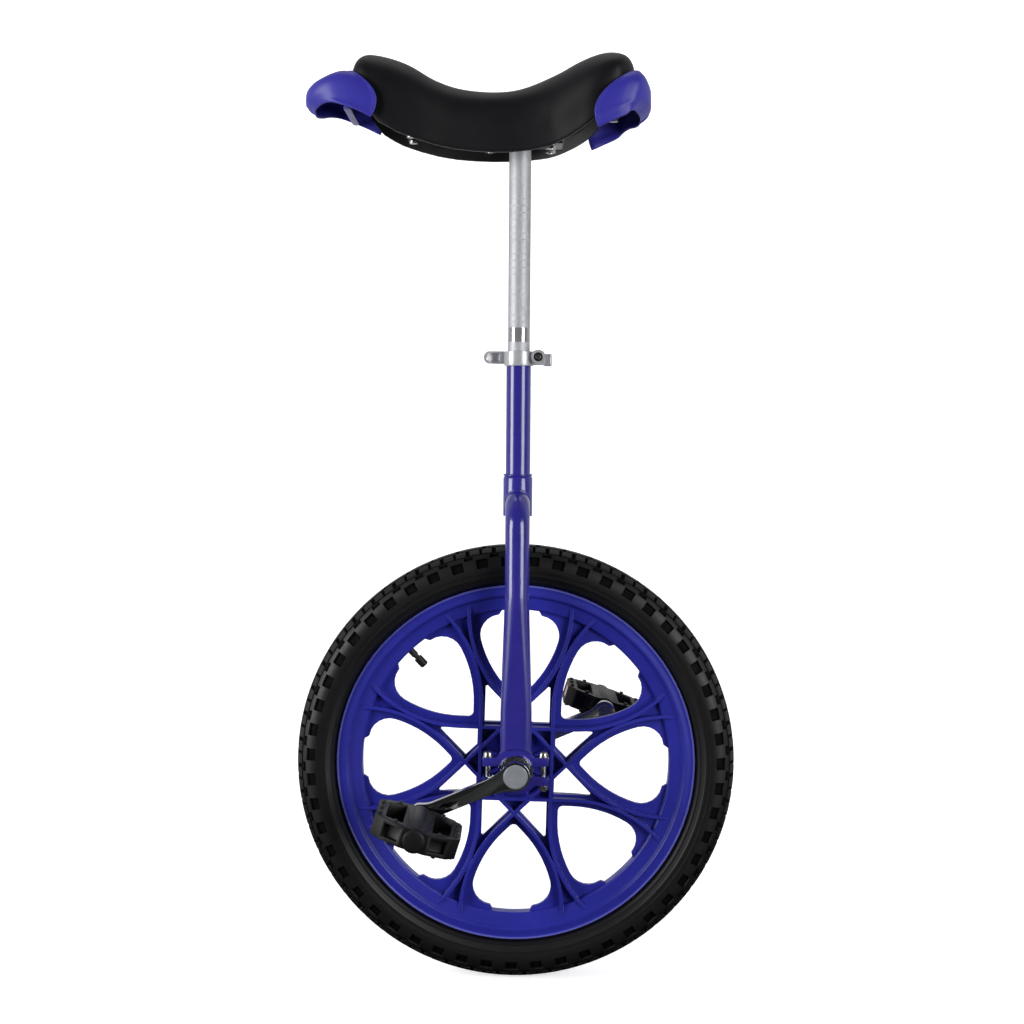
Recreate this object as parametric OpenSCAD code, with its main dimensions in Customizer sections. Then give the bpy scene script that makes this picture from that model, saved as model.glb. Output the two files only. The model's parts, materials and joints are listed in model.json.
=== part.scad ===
// Unicycle with a one-piece moulded wheel, fixed cranks and a quick-release seat post.
// Units are millimetres. +Z is up, -X is the riding direction, -Y is the rider's left.
// The origin is the point on the ground under the middle of the wheel.

/* [Wheel] */
// Outer radius of the tyre, and so the height of the axle
tyre_r = 257; // [254:0.5:262]
// Half of the tyre's section width
tyre_half_w = 27; // [25:0.5:28]
// Outer radius of the rim flanges
rim_r = 210; // [209:0.5:211]
// Half width of the rim over its flanges
rim_half_w = 13.7; // [13:0.1:15]
// Angle of the first large opening of the wheel above the horizontal
wheel_phase = 43.6; // [0:0.1:45]
// Distance from the axle to the straight part of each wheel rib
rib_chord = 42; // [40:0.5:44]
// Radius of the curved part of each wheel rib
rib_arc = 143; // [130:1:150]
// Width of a wheel rib
rib_w = 4; // [3:0.1:5]

/* [Drive] */
// Crank length between the axle and the pedal spindle
crank_len = 117; // [102:1:127]
// Angle of the cranks above the horizontal
crank_angle = 22.8; // [0:0.1:60]
// Outer face of each crank, from the middle of the wheel
crank_face = 81.5; // [81:0.5:84]
// Distance from the middle of the wheel to each bearing
bearing_y = 50; // [49.5:0.5:50.5]
// Tilt of the pedals about their spindles
pedal_tilt = -17.5; // [-45:0.5:45]
// Length of a pedal along its spindle
pedal_len = 96; // [94:1:102]
// Depth of a pedal along the foot
pedal_depth = 96; // [92:1:100]

/* [Frame] */
// Outer diameter of the seat tube
seat_tube_d = 28.6; // [28.6:0.1:28.8]
// Top of the seat tube above the axle
seat_tube_top = 464; // [440:1:480]
// Middle of the crown bend above the axle
crown_z = 306; // [302:1:312]
// Outer diameter of the fork legs
leg_d = 28; // [27:0.5:29]
// Width of the flattened end of the fork legs
leg_flat_w = 36; // [34:0.5:37]

/* [Seat] */
// Diameter of the seat post
post_d = 25.4; // [25.38:0.01:25.42]
// Length of the seat post
post_len = 297; // [250:1:330]
// Lower edge of the saddle above the axle
saddle_z = 704; // [690:1:716]
// Thickness of the saddle cover
cover_t = 2.5; // [2:0.1:3]

/* [Hidden] */

$fn = 72;
gap = 0.05;                        // running clearance
left = 0;
right = 1;
blue = [0.20, 0.19, 0.62];
black = [0.07, 0.07, 0.08];
steel = [0.72, 0.73, 0.75];
bright = [0.8, 0.8, 0.82];
alloy = [0.86, 0.86, 0.88];
rubber = [0.10, 0.10, 0.11];

// ---------------------------------------------------------------- points and curves
function polar(radius, angle) = [radius * cos(angle), radius * sin(angle)];
function arc(centre, radius, from, to, steps) =
    [for (i = [0:steps]) centre + polar(radius, from + (to - from) * i / steps)];
// The points in reverse order, mirrored to the other side of y = 0 or of x = 0
function mirror_y(points) = [for (i = [len(points) - 1:-1:0]) [points[i][0], -points[i][1]]];
function mirror_x(points) = [for (i = [len(points) - 1:-1:0]) [-points[i][0], points[i][1]]];
// Closed outline from the half on one side of y = 0
function symmetric(half) = concat(half, mirror_y(half));
// The point mirrored in the line through the origin at half the angle
function reflect(point, angle) = [point[0] * cos(angle) + point[1] * sin(angle),
    point[0] * sin(angle) - point[1] * cos(angle)];
function signed_pow(value, power) = value < 0 ? -pow(-value, power) : pow(value, power);

// Value at x of a smooth curve through the points of table = [[x, value], ...]
function interval(table, x, i = 0) =
    i >= len(table) - 2 || x < table[i + 1][0] ? i : interval(table, x, i + 1);
function slope(table, i) = let (a = table[max(0, i - 1)], b = table[min(len(table) - 1, i + 1)])
    (b[1] - a[1]) / (b[0] - a[0]);
function curve(table, x) = let (
        i = interval(table, x),
        width = table[i + 1][0] - table[i][0],
        s = (x - table[i][0]) / width)
    (2 * s * s * s - 3 * s * s + 1) * table[i][1]
    + (s * s * s - 2 * s * s + s) * width * slope(table, i)
    + (3 * s * s - 2 * s * s * s) * table[i + 1][1]
    + (s * s * s - s * s) * width * slope(table, i + 1);

// ---------------------------------------------------------------- shared shapes and frames
// A 2D shape in x and z, extruded from y0 to y1
module extrude_y(y0, y1) {
    translate([0, y1, 0]) rotate([90, 0, 0]) linear_extrude(y1 - y0) children();
}
// A 2D profile in radius and y, turned about the y axis
module revolve_y() {
    rotate([-90, 0, 0]) rotate_extrude() children();
}
module cyl_y(radius, y0, y1, x = 0, z = 0) {
    translate([x, y0, z]) rotate([-90, 0, 0]) cylinder(r = radius, h = y1 - y0);
}
// Hexagon prism along z
module hex(across_flats, height) {
    cylinder(r = across_flats / sqrt(3), h = height, $fn = 6);
}
module at_axle() {
    translate([0, 0, tyre_r]) children();
}
// Parts are drawn on the rider's left; the right side is the same turned half round
module on_side(hand) {
    if (hand == right) rotate([0, 0, 180]) children();
    else children();
}
module both_sides() {
    for (hand = [left, right]) on_side(hand) children();
}

// Triangles between neighbouring sections, each a closed loop of size points
function side_faces(size, count) = [for (j = [0:count - 2], i = [0:size - 1])
    let (k = (i + 1) % size, this = j * size, next = this + size)
    each [[this + i, next + i, this + k], [this + k, next + i, next + k]]];
// Skin over a row of closed sections of 3D points, in order towards -X
module skin(sections) {
    size = len(sections[0]);
    last = (len(sections) - 1) * size;
    polyhedron(points = [for (section = sections) each section],
        faces = concat([[for (i = [0:size - 1]) i]], side_faces(size, len(sections)),
            [[for (i = [size - 1:-1:0]) last + i]]));
}
// Skin over a row of thin open sections, from their outer lines and the matching inner lines
module band_skin(outer, inner) {
    n = len(outer[0]);
    size = 2 * n;
    last = (len(outer) - 1) * size;
    polyhedron(
        points = [for (j = [0:len(outer) - 1])
            each concat(outer[j], [for (k = [n - 1:-1:0]) inner[j][k]])],
        faces = concat(side_faces(size, len(outer)),
            [for (k = [0:n - 2]) let (i = size - 1 - k) each [[k, k + 1, i], [k + 1, i - 1, i]]],
            [for (k = [0:n - 2]) let (a = last + k, b = last + size - 1 - k)
                each [[a, b, a + 1], [a + 1, b, b - 1]]]));
}

// ---------------------------------------------------------------- wheel
openings = 8;                      // large openings around the wheel
pitch = 360 / openings;
half_pitch = pitch / 2;
rib_lift = 2.1;                    // half the distance between two ribs where they nearly touch
rib_end = 194;                     // reach of a rib along the axis between two openings
rib_margin = 9.7;                  // from a rib's middle to the edge of the large opening
rib_arc_x = (rib_chord + rib_arc - cos(half_pitch) * (rib_lift + rib_arc)) / sin(half_pitch);
rib_arc_centre = [rib_arc_x, rib_lift + rib_arc];  // x along the axis between two openings
rim_in = 180.4;                    // inner radius of the rim
rim_well_r = 198.5;                // floor of the rim's well
shoulder_r = 175;                  // radius of a large opening's shoulders, beside its neck
bore_r = 10;
web_bore_r = 17;
web_half_t = 2.5;
hub_half_w = 28;
valve_r = 4;                       // valve stem at the rim
valve_thread_r = 3.1;
valve_cut = 150;                   // radius where the cuts for the valve start
tube_c = 229.6;                    // radius of the middle of the tube's section
tube_r = 20.5;
tube_wall = 1.2;
tyre_wall = 5;
tyre_c = tyre_r - tyre_half_w;     // radius of the middle of the tyre's section

// One side of the rim and of its well, as [radius, y]
rim_side = [[rim_r, rim_half_w - 0.6], [rim_r - 0.6, rim_half_w], [rim_r - 11, rim_half_w],
    [rim_r - 13.6, rim_half_w - 0.9], [rim_r - 15, rim_half_w - 2.6], [rim_in + 1.6, 8.2],
    [rim_in, 6.6]];
rim_well = [[rim_r, -rim_half_w + 2.6], [203, -10.9], [202.6, -9.5], [rim_well_r, -7.5]];

// The wheel's own frame, with the first large opening along the x axis
module at_wheel() {
    at_axle() rotate([0, -wheel_phase, 0]) children();
}
// One long rib: a straight chord across the x axis with an arc to the rim at each end
module rib() {
    steps = 12;
    half_w = rib_w / 2;
    centre = reflect(rib_arc_centre, 3 * half_pitch);
    end_angle = 180 - asin(min(1, (rib_end - rib_arc_x) / rib_arc)) - half_pitch;
    curved = concat(arc(centre, rib_arc - half_w, 180, end_angle, steps),
        arc(centre, rib_arc + half_w, end_angle, 180, steps));
    polygon(curved);
    polygon(mirror_y(curved));
    translate([rib_chord - half_w, -centre[1] - 0.01]) square([rib_w, 2 * centre[1] + 0.02]);
}
// Half of the outline of a large opening, along the x axis
function petal_half() = let (
        tip_r = 6,
        fillet_r = 24,
        tip_centre = [(rib_chord + rib_margin + tip_r) * sqrt(2), 0],
        side_centre = reflect(rib_arc_centre, half_pitch),
        side_r = rib_arc - rib_margin,
        // the fillet lies inside both the side arc and the shoulder circle, and touches them
        side_reach = side_r - fillet_r,
        shoulder_reach = shoulder_r - fillet_r,
        distance = norm(side_centre),
        along = (side_reach * side_reach - shoulder_reach * shoulder_reach
            + distance * distance) / (2 * distance),
        across = sqrt(max(0, side_reach * side_reach - along * along)),
        toward = side_centre / distance,
        fillet_centre = side_centre - toward * along + across * [-toward[1], toward[0]],
        to_fillet = fillet_centre - side_centre,
        side_angle = atan2(to_fillet[1], to_fillet[0]),
        shoulder_angle = atan2(fillet_centre[1], fillet_centre[0]))
    concat(arc(tip_centre, tip_r, 180, 135, 3),
        arc(side_centre, side_r, 135, side_angle, 7),
        [for (i = [1:6]) fillet_centre
            + polar(fillet_r, side_angle + (shoulder_angle - side_angle) * i / 6)],
        [polar(shoulder_r, 8.2), polar(rim_in + 1, 6.6)]);
// Small kite-shaped opening along the x axis, with a blunt outer tip
module kite() {
    inner_edge = rib_chord + 4;
    outer_edge = rib_chord - 4;
    corner_x = inner_edge * cos(half_pitch) + outer_edge * sin(half_pitch);
    corner_y = outer_edge * cos(half_pitch) - inner_edge * sin(half_pitch);
    tip_x = outer_edge / sin(half_pitch);
    blunt = 0.93;                  // share of the outer point that is kept
    end_x = corner_x + (tip_x - corner_x) * blunt;
    end_y = corner_y * (1 - blunt);
    polygon([[inner_edge / cos(half_pitch), 0], [corner_x, corner_y], [end_x, end_y],
        [end_x, -end_y], [corner_x, -corner_y]]);
}
module web() {
    extrude_y(-web_half_t, web_half_t) difference() {
        circle(r = rim_in + 1);
        circle(r = web_bore_r);
        for (k = [0:openings - 1]) rotate(pitch * k) polygon(symmetric(petal_half()));
        for (k = [0:openings - 1]) rotate(pitch * k + half_pitch) kite();
    }
}
// Ribs, deeper at the hub than at the rim
module ribs() {
    intersection() {
        extrude_y(-18, 18) for (k = [0:openings - 1]) rotate(pitch * k) rib();
        revolve_y() polygon(symmetric([[30, -17], [60, -16], [196, -10.5]]));
    }
}
module hub() {
    // ring where the ribs' chords meet, with short walls to the hub
    revolve_y() translate([rib_chord - 1.5, -14.5]) square([3.4, 29]);
    extrude_y(-12, 12) for (k = [0:openings - 1]) rotate(pitch * k + half_pitch)
        translate([web_bore_r, -1.6]) square([rib_chord - web_bore_r, 3.2]);
    revolve_y() polygon(symmetric([[bore_r + 5, -hub_half_w], [20, -26]]));
    cyl_y(bore_r + 6, -hub_half_w, hub_half_w);
}
module mag_wheel() color(blue) at_wheel() difference() {
    union() {
        revolve_y() polygon(concat(symmetric(rim_side), symmetric(rim_well)));
        web();
        ribs();
        hub();
    }
    cyl_y(bore_r + gap, -40, 40);
    translate([0, 0, valve_cut]) cylinder(r = valve_r + 0.2, h = 60);
}
module rim_tape() color([0.25, 0.25, 0.26]) at_wheel() difference() {
    revolve_y() polygon(symmetric([[rim_well_r + 1.1, -7.3], [rim_well_r + 0.1, -7.3]]));
    translate([0, 0, valve_cut]) cylinder(r = valve_r + 0.4, h = 60);
}
module inner_tube() color(rubber) at_wheel() {
    revolve_y() translate([tube_c, 0]) difference() {
        circle(r = tube_r);
        circle(r = tube_r - tube_wall);
    }
    // valve stem with the bare thread under the cap
    difference() {
        union() {
            translate([0, 0, 172]) cylinder(r = valve_r, h = 38);
            translate([0, 0, 158]) cylinder(r = valve_thread_r, h = 14.5);
        }
        translate([0, 0, valve_cut]) cylinder(r = 1.6, h = 70);
        revolve_y() translate([tube_c, 0]) circle(r = tube_r - tube_wall / 2);
    }
}
module valve_cap() color(black) at_wheel() difference() {
    union() {
        translate([0, 0, 157]) cylinder(r = 5, h = 11.5);
        translate([0, 0, 155.6]) cylinder(r1 = 3.8, r2 = 5, h = 1.4);
    }
    translate([0, 0, 157.4]) cylinder(r = valve_thread_r + gap, h = 12);
}
module tyre() color(rubber) at_axle() revolve_y() {
    bead = [[rim_r + 1.2, rim_half_w + 1], [rim_r + 0.6, rim_half_w - 2.9], [204.2, 10.4],
        [203.5, 9.4], [203.6, 7.6]];
    half = concat(arc([tyre_c, 0], tyre_half_w, 0, 132, 22), bead,
        arc([tyre_c, 0], tyre_half_w - tyre_wall, 158, 0, 20));
    // the two end points lie on the middle line and are not repeated
    polygon(concat(half, mirror_y([for (i = [1:len(half) - 2]) half[i]])));
}

// ---------------------------------------------------------------- hub axle and bearings
axle_r = 8.5;
axle_end = 58;                     // end of the round part, from the middle of the wheel
axle_shoulder = 30;                // end of the thick middle part
square_start = 57;                 // y where the tapered square end starts
square_tip = 75;
square_half = 6.85;                // half width of the square at its start
taper = 0.035;                     // slope of the square ends
bearing_r = 20;
bearing_half_w = 6;
ring_t = 2.9;
ball_pitch = (axle_r + bearing_r) / 2;
ball_r = 3.375;
ball_n = 8;

// The cranks' frame: everything that turns with them sits at their angle
module at_crank() {
    at_axle() rotate([0, -crank_angle, 0]) children();
}
// Tapered square end on the +Y side
module square_end(extra = 0) {
    root = square_half + extra;
    tip = root - (square_tip - square_start) * taper;
    outline = [[root, square_start], [tip, square_tip], [-tip, square_tip], [-root, square_start]];
    intersection() {
        translate([0, 0, -12]) linear_extrude(24) polygon(outline);
        rotate([0, 90, 0]) translate([0, 0, -12]) linear_extrude(24) polygon(outline);
    }
}
module hub_axle() color(steel) at_crank() difference() {
    union() {
        revolve_y() polygon(symmetric([[0, -axle_end], [axle_r - 0.4, -axle_end],
            [axle_r, -axle_end + 0.8], [axle_r, -axle_shoulder], [bore_r, -axle_shoulder]]));
        both_sides() square_end();
    }
    cyl_y(4, 50, 80);
    cyl_y(4, -80, -50);
}
module bearing_spacers() color(steel) at_axle() both_sides() difference() {
    cyl_y(11, -bearing_y + bearing_half_w, -axle_shoulder);
    cyl_y(axle_r + gap, -bearing_y + bearing_half_w - 1, -axle_shoulder + 1);
}
module at_bearing(hand) {
    at_axle() on_side(hand) translate([0, -bearing_y, 0]) children();
}
module grooved_ring(inner_r) {
    revolve_y() difference() {
        translate([inner_r, -bearing_half_w]) square([ring_t, 2 * bearing_half_w]);
        translate([ball_pitch, 0]) circle(r = ball_r + 0.045);
    }
}
module bearing_outer_ring(hand) color(steel) at_bearing(hand) grooved_ring(bearing_r - ring_t);
module bearing_inner_ring(hand) color(steel) at_bearing(hand) grooved_ring(axle_r + gap / 2);
module ball_circle(radius) {
    for (k = [0:ball_n - 1]) rotate([0, 360 / ball_n * k, 0])
        translate([ball_pitch, 0, 0]) sphere(r = radius, $fn = 32);
}
module bearing_balls(hand) color(bright) at_bearing(hand) {
    ball_circle(ball_r);
    // cage between the balls, towards the middle of the wheel
    difference() {
        revolve_y() translate([ball_pitch - 1, 1]) square([2, 3.4]);
        ball_circle(ball_r + 0.06);
    }
}
module bearing_shields() color(steel) for (hand = [left, right], y = [-5.6, 5.1])
    at_bearing(hand) translate([0, y, 0]) revolve_y() translate([11.7, 0]) square([5.3, 0.5]);

// ---------------------------------------------------------------- bearing holders
holder_r = 27;
cap_r = 26.5;
ear_half_len = 38;                 // reach of the bolted ears in front of and behind the axle
ear_face = 16;                     // outer faces of the ears, above and below the axle
holder_bottom = 6.2;
holder_half_w = 7;
holder_bolt_x = 31.8;
bolt_r = 3;
// Fillets between the round body and the rear ear, as [x, z]
holder_fillet = [[19, 15], [24, 15], [24, 15.95], [22.82, 16.09], [22, 16.37], [21.26, 16.82],
    [20.3, 17.5], [19, 18]];
cap_fillet = [[16, -15], [16.8, -20.2], [19.2, -17.7], [21.5, -16.5], [25, -15.9], [25, -15]];

// Area above the holder's lower face, or below the cap's upper one
module half_area(upper) {
    translate([-40, upper ? holder_bottom : -40]) square([80, upper ? 40 : 34.5]);
}
// Bar across both ears from z0 to z1, with its corners cut
module ear_bar(z0, z1, corner) {
    half = [[ear_half_len - corner, z0], [ear_half_len, z0 + corner],
        [ear_half_len, z1 - corner], [ear_half_len - corner, z1]];
    polygon(concat(half, mirror_x(half)));
}
module holder2d(upper) {
    fillet = upper ? holder_fillet : cap_fillet;
    difference() {
        union() {
            intersection() {
                circle(r = upper ? holder_r : cap_r);
                half_area(upper);
            }
            if (upper) ear_bar(holder_bottom, ear_face, 1.5);
            else ear_bar(-ear_face, -6, 1);
            polygon(fillet);
            polygon(mirror_x(fillet));
        }
        circle(r = bearing_r + gap / 2);
    }
}
// Lip that keeps the bearing in
module lip2d(upper) {
    intersection() {
        difference() {
            circle(r = 21);
            circle(r = 18.2);
        }
        half_area(upper);
    }
}
module at_holder_bolts() {
    for (x = [-holder_bolt_x, holder_bolt_x]) translate([x, -bearing_y, 0]) children();
}
module holder_half(hand, upper) {
    outer_face = -bearing_y - holder_half_w;
    at_axle() on_side(hand) difference() {
        union() {
            extrude_y(outer_face, -bearing_y + holder_half_w) holder2d(upper);
            extrude_y(outer_face, -bearing_y - bearing_half_w - gap) lip2d(upper);
        }
        at_holder_bolts() translate([0, 0, -30]) cylinder(r = bolt_r + 0.2, h = 60);
    }
}
module bearing_holder(hand) color(blue) holder_half(hand, upper = true);
module lower_cap(hand) color(blue) holder_half(hand, upper = false);
module holder_bolts() color(steel) at_axle() both_sides() at_holder_bolts() {
    translate([0, 0, -23.5]) cylinder(r = bolt_r, h = 41);
    translate([0, 0, ear_face + gap]) cylinder(r = 6.2, h = 1.3);
    // domed head with a cross slot
    difference() {
        rotate_extrude() polygon([[0, 17.3], [5.4, 17.3], [5.4, 19.4], [4.7, 21], [3.1, 22],
            [0, 22.4]]);
        for (turn = [0, 90]) rotate(turn) translate([-2.6, -0.6, 20.4]) cube([5.2, 1.2, 3]);
    }
}
module holder_nuts() color(steel) at_axle() both_sides() at_holder_bolts() difference() {
    union() {
        translate([0, 0, -22.2]) hex(10, 5);
        translate([0, 0, -17.3]) cylinder(r = 6, h = 1.2);
    }
    translate([0, 0, -30]) cylinder(r = bolt_r + gap, h = 20);
}

// ---------------------------------------------------------------- frame, heights above the axle
leg_y = bearing_y;
bend_r = 34;
leg_wall = 1.8;
flat_t = 18;                       // thickness of the flattened end
round_z = 200;                     // the leg is round above this height
flat_z = 70;                       // and flat below this one
leg_bottom = 12;
socket_r = 17;
socket_bottom = 290;
socket_h = 44;

module stadium(width, thickness) {
    hull() for (side = [-1, 1]) translate([side * (width - thickness) / 2, 0])
        circle(d = thickness, $fn = 32);
}
// Solid leg, smaller by inset all round
module leg_solid(inset) {
    radius = leg_d / 2 - inset;
    // level stub at the crown, then the bend, then the round part
    translate([0, -leg_y + bend_r, crown_z]) rotate([-90, 0, 0])
        cylinder(r = radius, h = leg_y - bend_r);
    translate([0, -leg_y + bend_r, crown_z - bend_r]) rotate([90, 0, -90])
        rotate_extrude(angle = 90) translate([bend_r, 0]) circle(r = radius);
    translate([0, -leg_y, round_z]) cylinder(r = radius, h = crown_z - bend_r - round_z);
    // from round to flat, then the flat end
    hull() {
        translate([0, -leg_y, round_z]) linear_extrude(0.5) circle(r = radius - 0.06, $fn = 48);
        translate([0, -leg_y, flat_z - 0.5]) linear_extrude(0.5)
            stadium(leg_flat_w - 2 * inset - 0.12, flat_t - 2 * inset - 0.12);
    }
    translate([0, -leg_y, leg_bottom + inset]) linear_extrude(flat_z - leg_bottom - inset) {
        square([leg_flat_w - flat_t, flat_t - 2 * inset], center = true);
        for (side = [-1, 1]) translate([side * (leg_flat_w - flat_t) / 2, 0])
            circle(d = flat_t - 2 * inset);
    }
}
module fork_leg(hand) color(blue) at_axle() on_side(hand) difference() {
    leg_solid(0);
    leg_solid(leg_wall);
    // coped to the crown socket and to the bearing holder
    cylinder(r = socket_r + gap, h = 400);
    cyl_y(holder_r + gap, -90, 0);
}
module crown_socket() color(blue) at_axle() difference() {
    union() {
        translate([0, 0, socket_bottom]) cylinder(r = socket_r, h = socket_h);
        translate([0, 0, socket_bottom + socket_h]) cylinder(r1 = socket_r, r2 = 14.7, h = 4);
    }
    translate([0, 0, socket_bottom - 10]) cylinder(r = seat_tube_d / 2 + gap, h = 70);
}
module seat_tube() color(blue) at_axle() {
    bottom = socket_bottom + 0.5;
    slot_z = seat_tube_top - 26;
    difference() {
        translate([0, 0, bottom]) cylinder(r = seat_tube_d / 2, h = seat_tube_top - bottom);
        translate([0, 0, bottom - 10.5]) cylinder(r = post_d / 2 + gap, h = 220);
        // slot in the back that lets the tube close, with a round lower end
        translate([0, -1.4, slot_z]) cube([30, 2.8, 40]);
        translate([0, 0, slot_z]) rotate([0, 90, 0]) cylinder(r = 2.4, h = 30);
    }
}

// ---------------------------------------------------------------- seat clamp
collar_z = seat_tube_top + 0.1;
collar_h = 16.5;
collar_r = 16.9;
ear_half_w = 9.5;
skewer_x = 22.3;
skewer_z = collar_z + 10;
skewer_r = 3;
eye_r = 5.5;                       // flat eye at the end of the skewer
eye_t = 5;
pin_y = 21;
pin_r = 2.5;
nut_ring_r = 5.2;
lever_t = 4;
lever_half_h = 7.3;
lever_tip = -41;
// Middle line of the lever's blade, as [x, y]
blade_line = [[-41, 11.6], [-24, 15.6], [-12, 19.4], [0, 22.2], [12, 23.2], [22.3, 21.4]];

module skewer_cyl(radius, y0, y1) {
    cyl_y(radius, y0, y1, skewer_x, skewer_z);
}
module at_pin(z) {
    translate([skewer_x, pin_y, skewer_z + z]) children();
}
// Collar on top of the seat tube, with two ears at the back
module clamp_collar() color(alloy) at_axle() difference() {
    union() {
        translate([0, 0, collar_z]) cylinder(r = collar_r, h = collar_h);
        translate([10, -ear_half_w, collar_z + 1.2]) cube([19.5, 2 * ear_half_w, collar_h - 2.4]);
        skewer_cyl(7, -ear_half_w, ear_half_w);
    }
    translate([0, 0, collar_z - 1]) cylinder(r = post_d / 2 + 0.15, h = 30);
    translate([0, -1.5, collar_z - 1]) cube([50, 3, 30]);
    skewer_cyl(skewer_r + gap, -20, 20);
    // spot face under the nut
    skewer_cyl(8.75, -18, -ear_half_w);
}
module clamp_skewer() color(steel) at_axle() difference() {
    union() {
        skewer_cyl(skewer_r, -21, 15);
        // flat eye for the lever's pin
        translate([skewer_x - eye_r, 14.9, skewer_z - eye_t / 2]) cube([2 * eye_r, 6.1, eye_t]);
        at_pin(-eye_t / 2) cylinder(r = eye_r, h = eye_t);
    }
    at_pin(-10) cylinder(r = pin_r + gap / 2, h = 20);
}
module clamp_lever_pin() color(steel) at_axle() at_pin(-7) cylinder(r = pin_r, h = 14);
module clamp_washer() color([0.55, 0.5, 0.42]) at_axle() difference() {
    skewer_cyl(7, ear_half_w + gap, 12.4);
    skewer_cyl(skewer_r + 0.1, 8, 16);
}
// Seen from above: a round end at the pin and a blade that follows the collar to the front
module lever2d() {
    xs = [for (i = [0:20]) lever_tip + 3.15 * i];
    translate([skewer_x, pin_y - 0.6]) circle(r = 7.8);
    polygon(concat([for (x = xs) [x, curve(blade_line, x) - lever_t / 2]],
        [for (i = [20:-1:0]) [xs[i], curve(blade_line, xs[i]) + lever_t / 2]]));
}
module clamp_lever() color(alloy) at_axle() {
    round_x = lever_tip + lever_half_h;
    difference() {
        intersection() {
            translate([0, 0, skewer_z - lever_half_h]) linear_extrude(2 * lever_half_h) lever2d();
            // rounded tip, seen from the side
            union() {
                translate([round_x, 0, skewer_z]) rotate([-90, 0, 0])
                    cylinder(r = lever_half_h, h = 60);
                translate([round_x, 0, skewer_z - 8]) cube([90, 60, 16]);
            }
        }
        // slot for the skewer's eye, and the pin's hole
        at_pin(-3.2) cylinder(r = 9.2, h = 6.4);
        at_pin(-20) cylinder(r = pin_r + gap, h = 40);
        // shallow recess in the blade's inner face
        translate([-32, 13.4, skewer_z]) rotate([90, 0, 14]) {
            cylinder(r = 4.6, h = 2);
            translate([0, -4.6, 0]) cube([9, 9.2, 2]);
        }
    }
}
module clamp_nut() color(alloy) at_axle() difference() {
    union() {
        skewer_cyl(8.6, -16.5, -9.6);
        skewer_cyl(6.6, -18.6, -16.4);
    }
    skewer_cyl(skewer_r + gap, -30, 0);
    skewer_cyl(nut_ring_r, -20, -15.5);
    // flutes around the edge
    for (k = [0:11]) translate([skewer_x, 0, skewer_z]) rotate([0, 30 * k, 0])
        translate([9.1, -17, 0]) rotate([-90, 0, 0]) cylinder(r = 1, h = 8);
}
module clamp_nut_ring() color(black) at_axle() difference() {
    skewer_cyl(nut_ring_r - gap, -19, -15.5 - gap);
    skewer_cyl(skewer_r + gap, -30, 0);
}

// ---------------------------------------------------------------- cranks
crank_t = 12;
boss_t = 21.5;
boss_r = 16.5;
crank_eye_r = 13;
arm_half_h = 8.5;
boss_fillet = 80;
eye_fillet = 30;
spindle_thread_r = 7.1;
head_recess_r = 11;

// Crank along the x axis, from the boss at the origin to the pedal eye
module crank2d() {
    boss_y = arm_half_h + boss_fillet;
    boss_x = sqrt(pow(boss_r + boss_fillet, 2) - pow(boss_y, 2));
    boss_angle = atan2(boss_y, boss_x);
    eye_y = arm_half_h + eye_fillet;
    eye_x = sqrt(pow(crank_eye_r + eye_fillet, 2) - pow(eye_y, 2));
    eye_angle = atan2(eye_y, eye_x);
    polygon(symmetric(concat(
        arc([0, 0], boss_r, 180, boss_angle, 16),
        [for (i = [1:8]) [boss_x, boss_y]
            + polar(boss_fillet, 180 + boss_angle + (90 - boss_angle) * i / 8)],
        arc([crank_len - eye_x, eye_y], eye_fillet, 270, 360 - eye_angle, 6),
        [for (i = [1:12]) [crank_len, 0] + polar(crank_eye_r, (180 - eye_angle) * (12 - i) / 12)])));
}
// The left crank points down and forwards, the right one up and backwards
module crank(hand) color([0.75, 0.76, 0.78]) at_crank() on_side(hand) difference() {
    union() {
        rotate([0, 180, 0]) extrude_y(-crank_face, -crank_face + crank_t) crank2d();
        cyl_y(boss_r - 0.15, -crank_face + crank_t - 1, -crank_face + boss_t);
    }
    rotate([0, 0, 180]) square_end(0.03);
    // holes for the crank bolt, its head and the pedal spindle
    cyl_y(4.5, -90, -50);
    cyl_y(head_recess_r, -90, -75.6);
    cyl_y(spindle_thread_r + gap, -90, -50, -crank_len, 0);
}
module crank_bolts() color(steel) at_crank() both_sides() {
    cyl_y(3.95, -76, -54);
    cyl_y(7.5, -77.2, -75.7);
    translate([0, -77.2, 0]) rotate([90, 0, 0]) hex(13, 3.2);
}
module crank_dust_caps() color([0.45, 0.46, 0.48]) at_crank() both_sides() difference() {
    union() {
        revolve_y() polygon([[0, -crank_face - 1.9], [12.6, -crank_face - 1.9],
            [13.8, -crank_face - 1.1], [13.8, -crank_face - 0.02], [0, -crank_face - 0.02]]);
        cyl_y(head_recess_r - gap, -crank_face - 0.5, -crank_face + 1);
    }
    cyl_y(9.5, -crank_face - 0.6, -crank_face + 3);
}

// ---------------------------------------------------------------- pedals
// Distances along the spindle are from the middle of the wheel
pedal_in = crank_face + 6.5;       // inner end of the pedal body
pedal_out = pedal_in + pedal_len;
pedal_mid = (pedal_in + pedal_out) / 2;
pedal_half = pedal_depth / 2;
row_in = pedal_in + 6;             // inner and outer rows of balls
row_out = pedal_out - 9;
row_r = 7.3;
pedal_ball_r = 2;
race_in = row_r - pedal_ball_r - gap;
race_out = row_r + pedal_ball_r + gap;
cup_r = 10.6;
cup_half_w = 2.6;
spindle_r = 4.4;
pedal_half_h = 11.5;
slant = 20.6;                      // slope of the end faces on both sides of the spindle
blunt_x = 14;                      // half width of each end's square part
reflector_size = [3.2, 43.8, 14.8];

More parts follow.
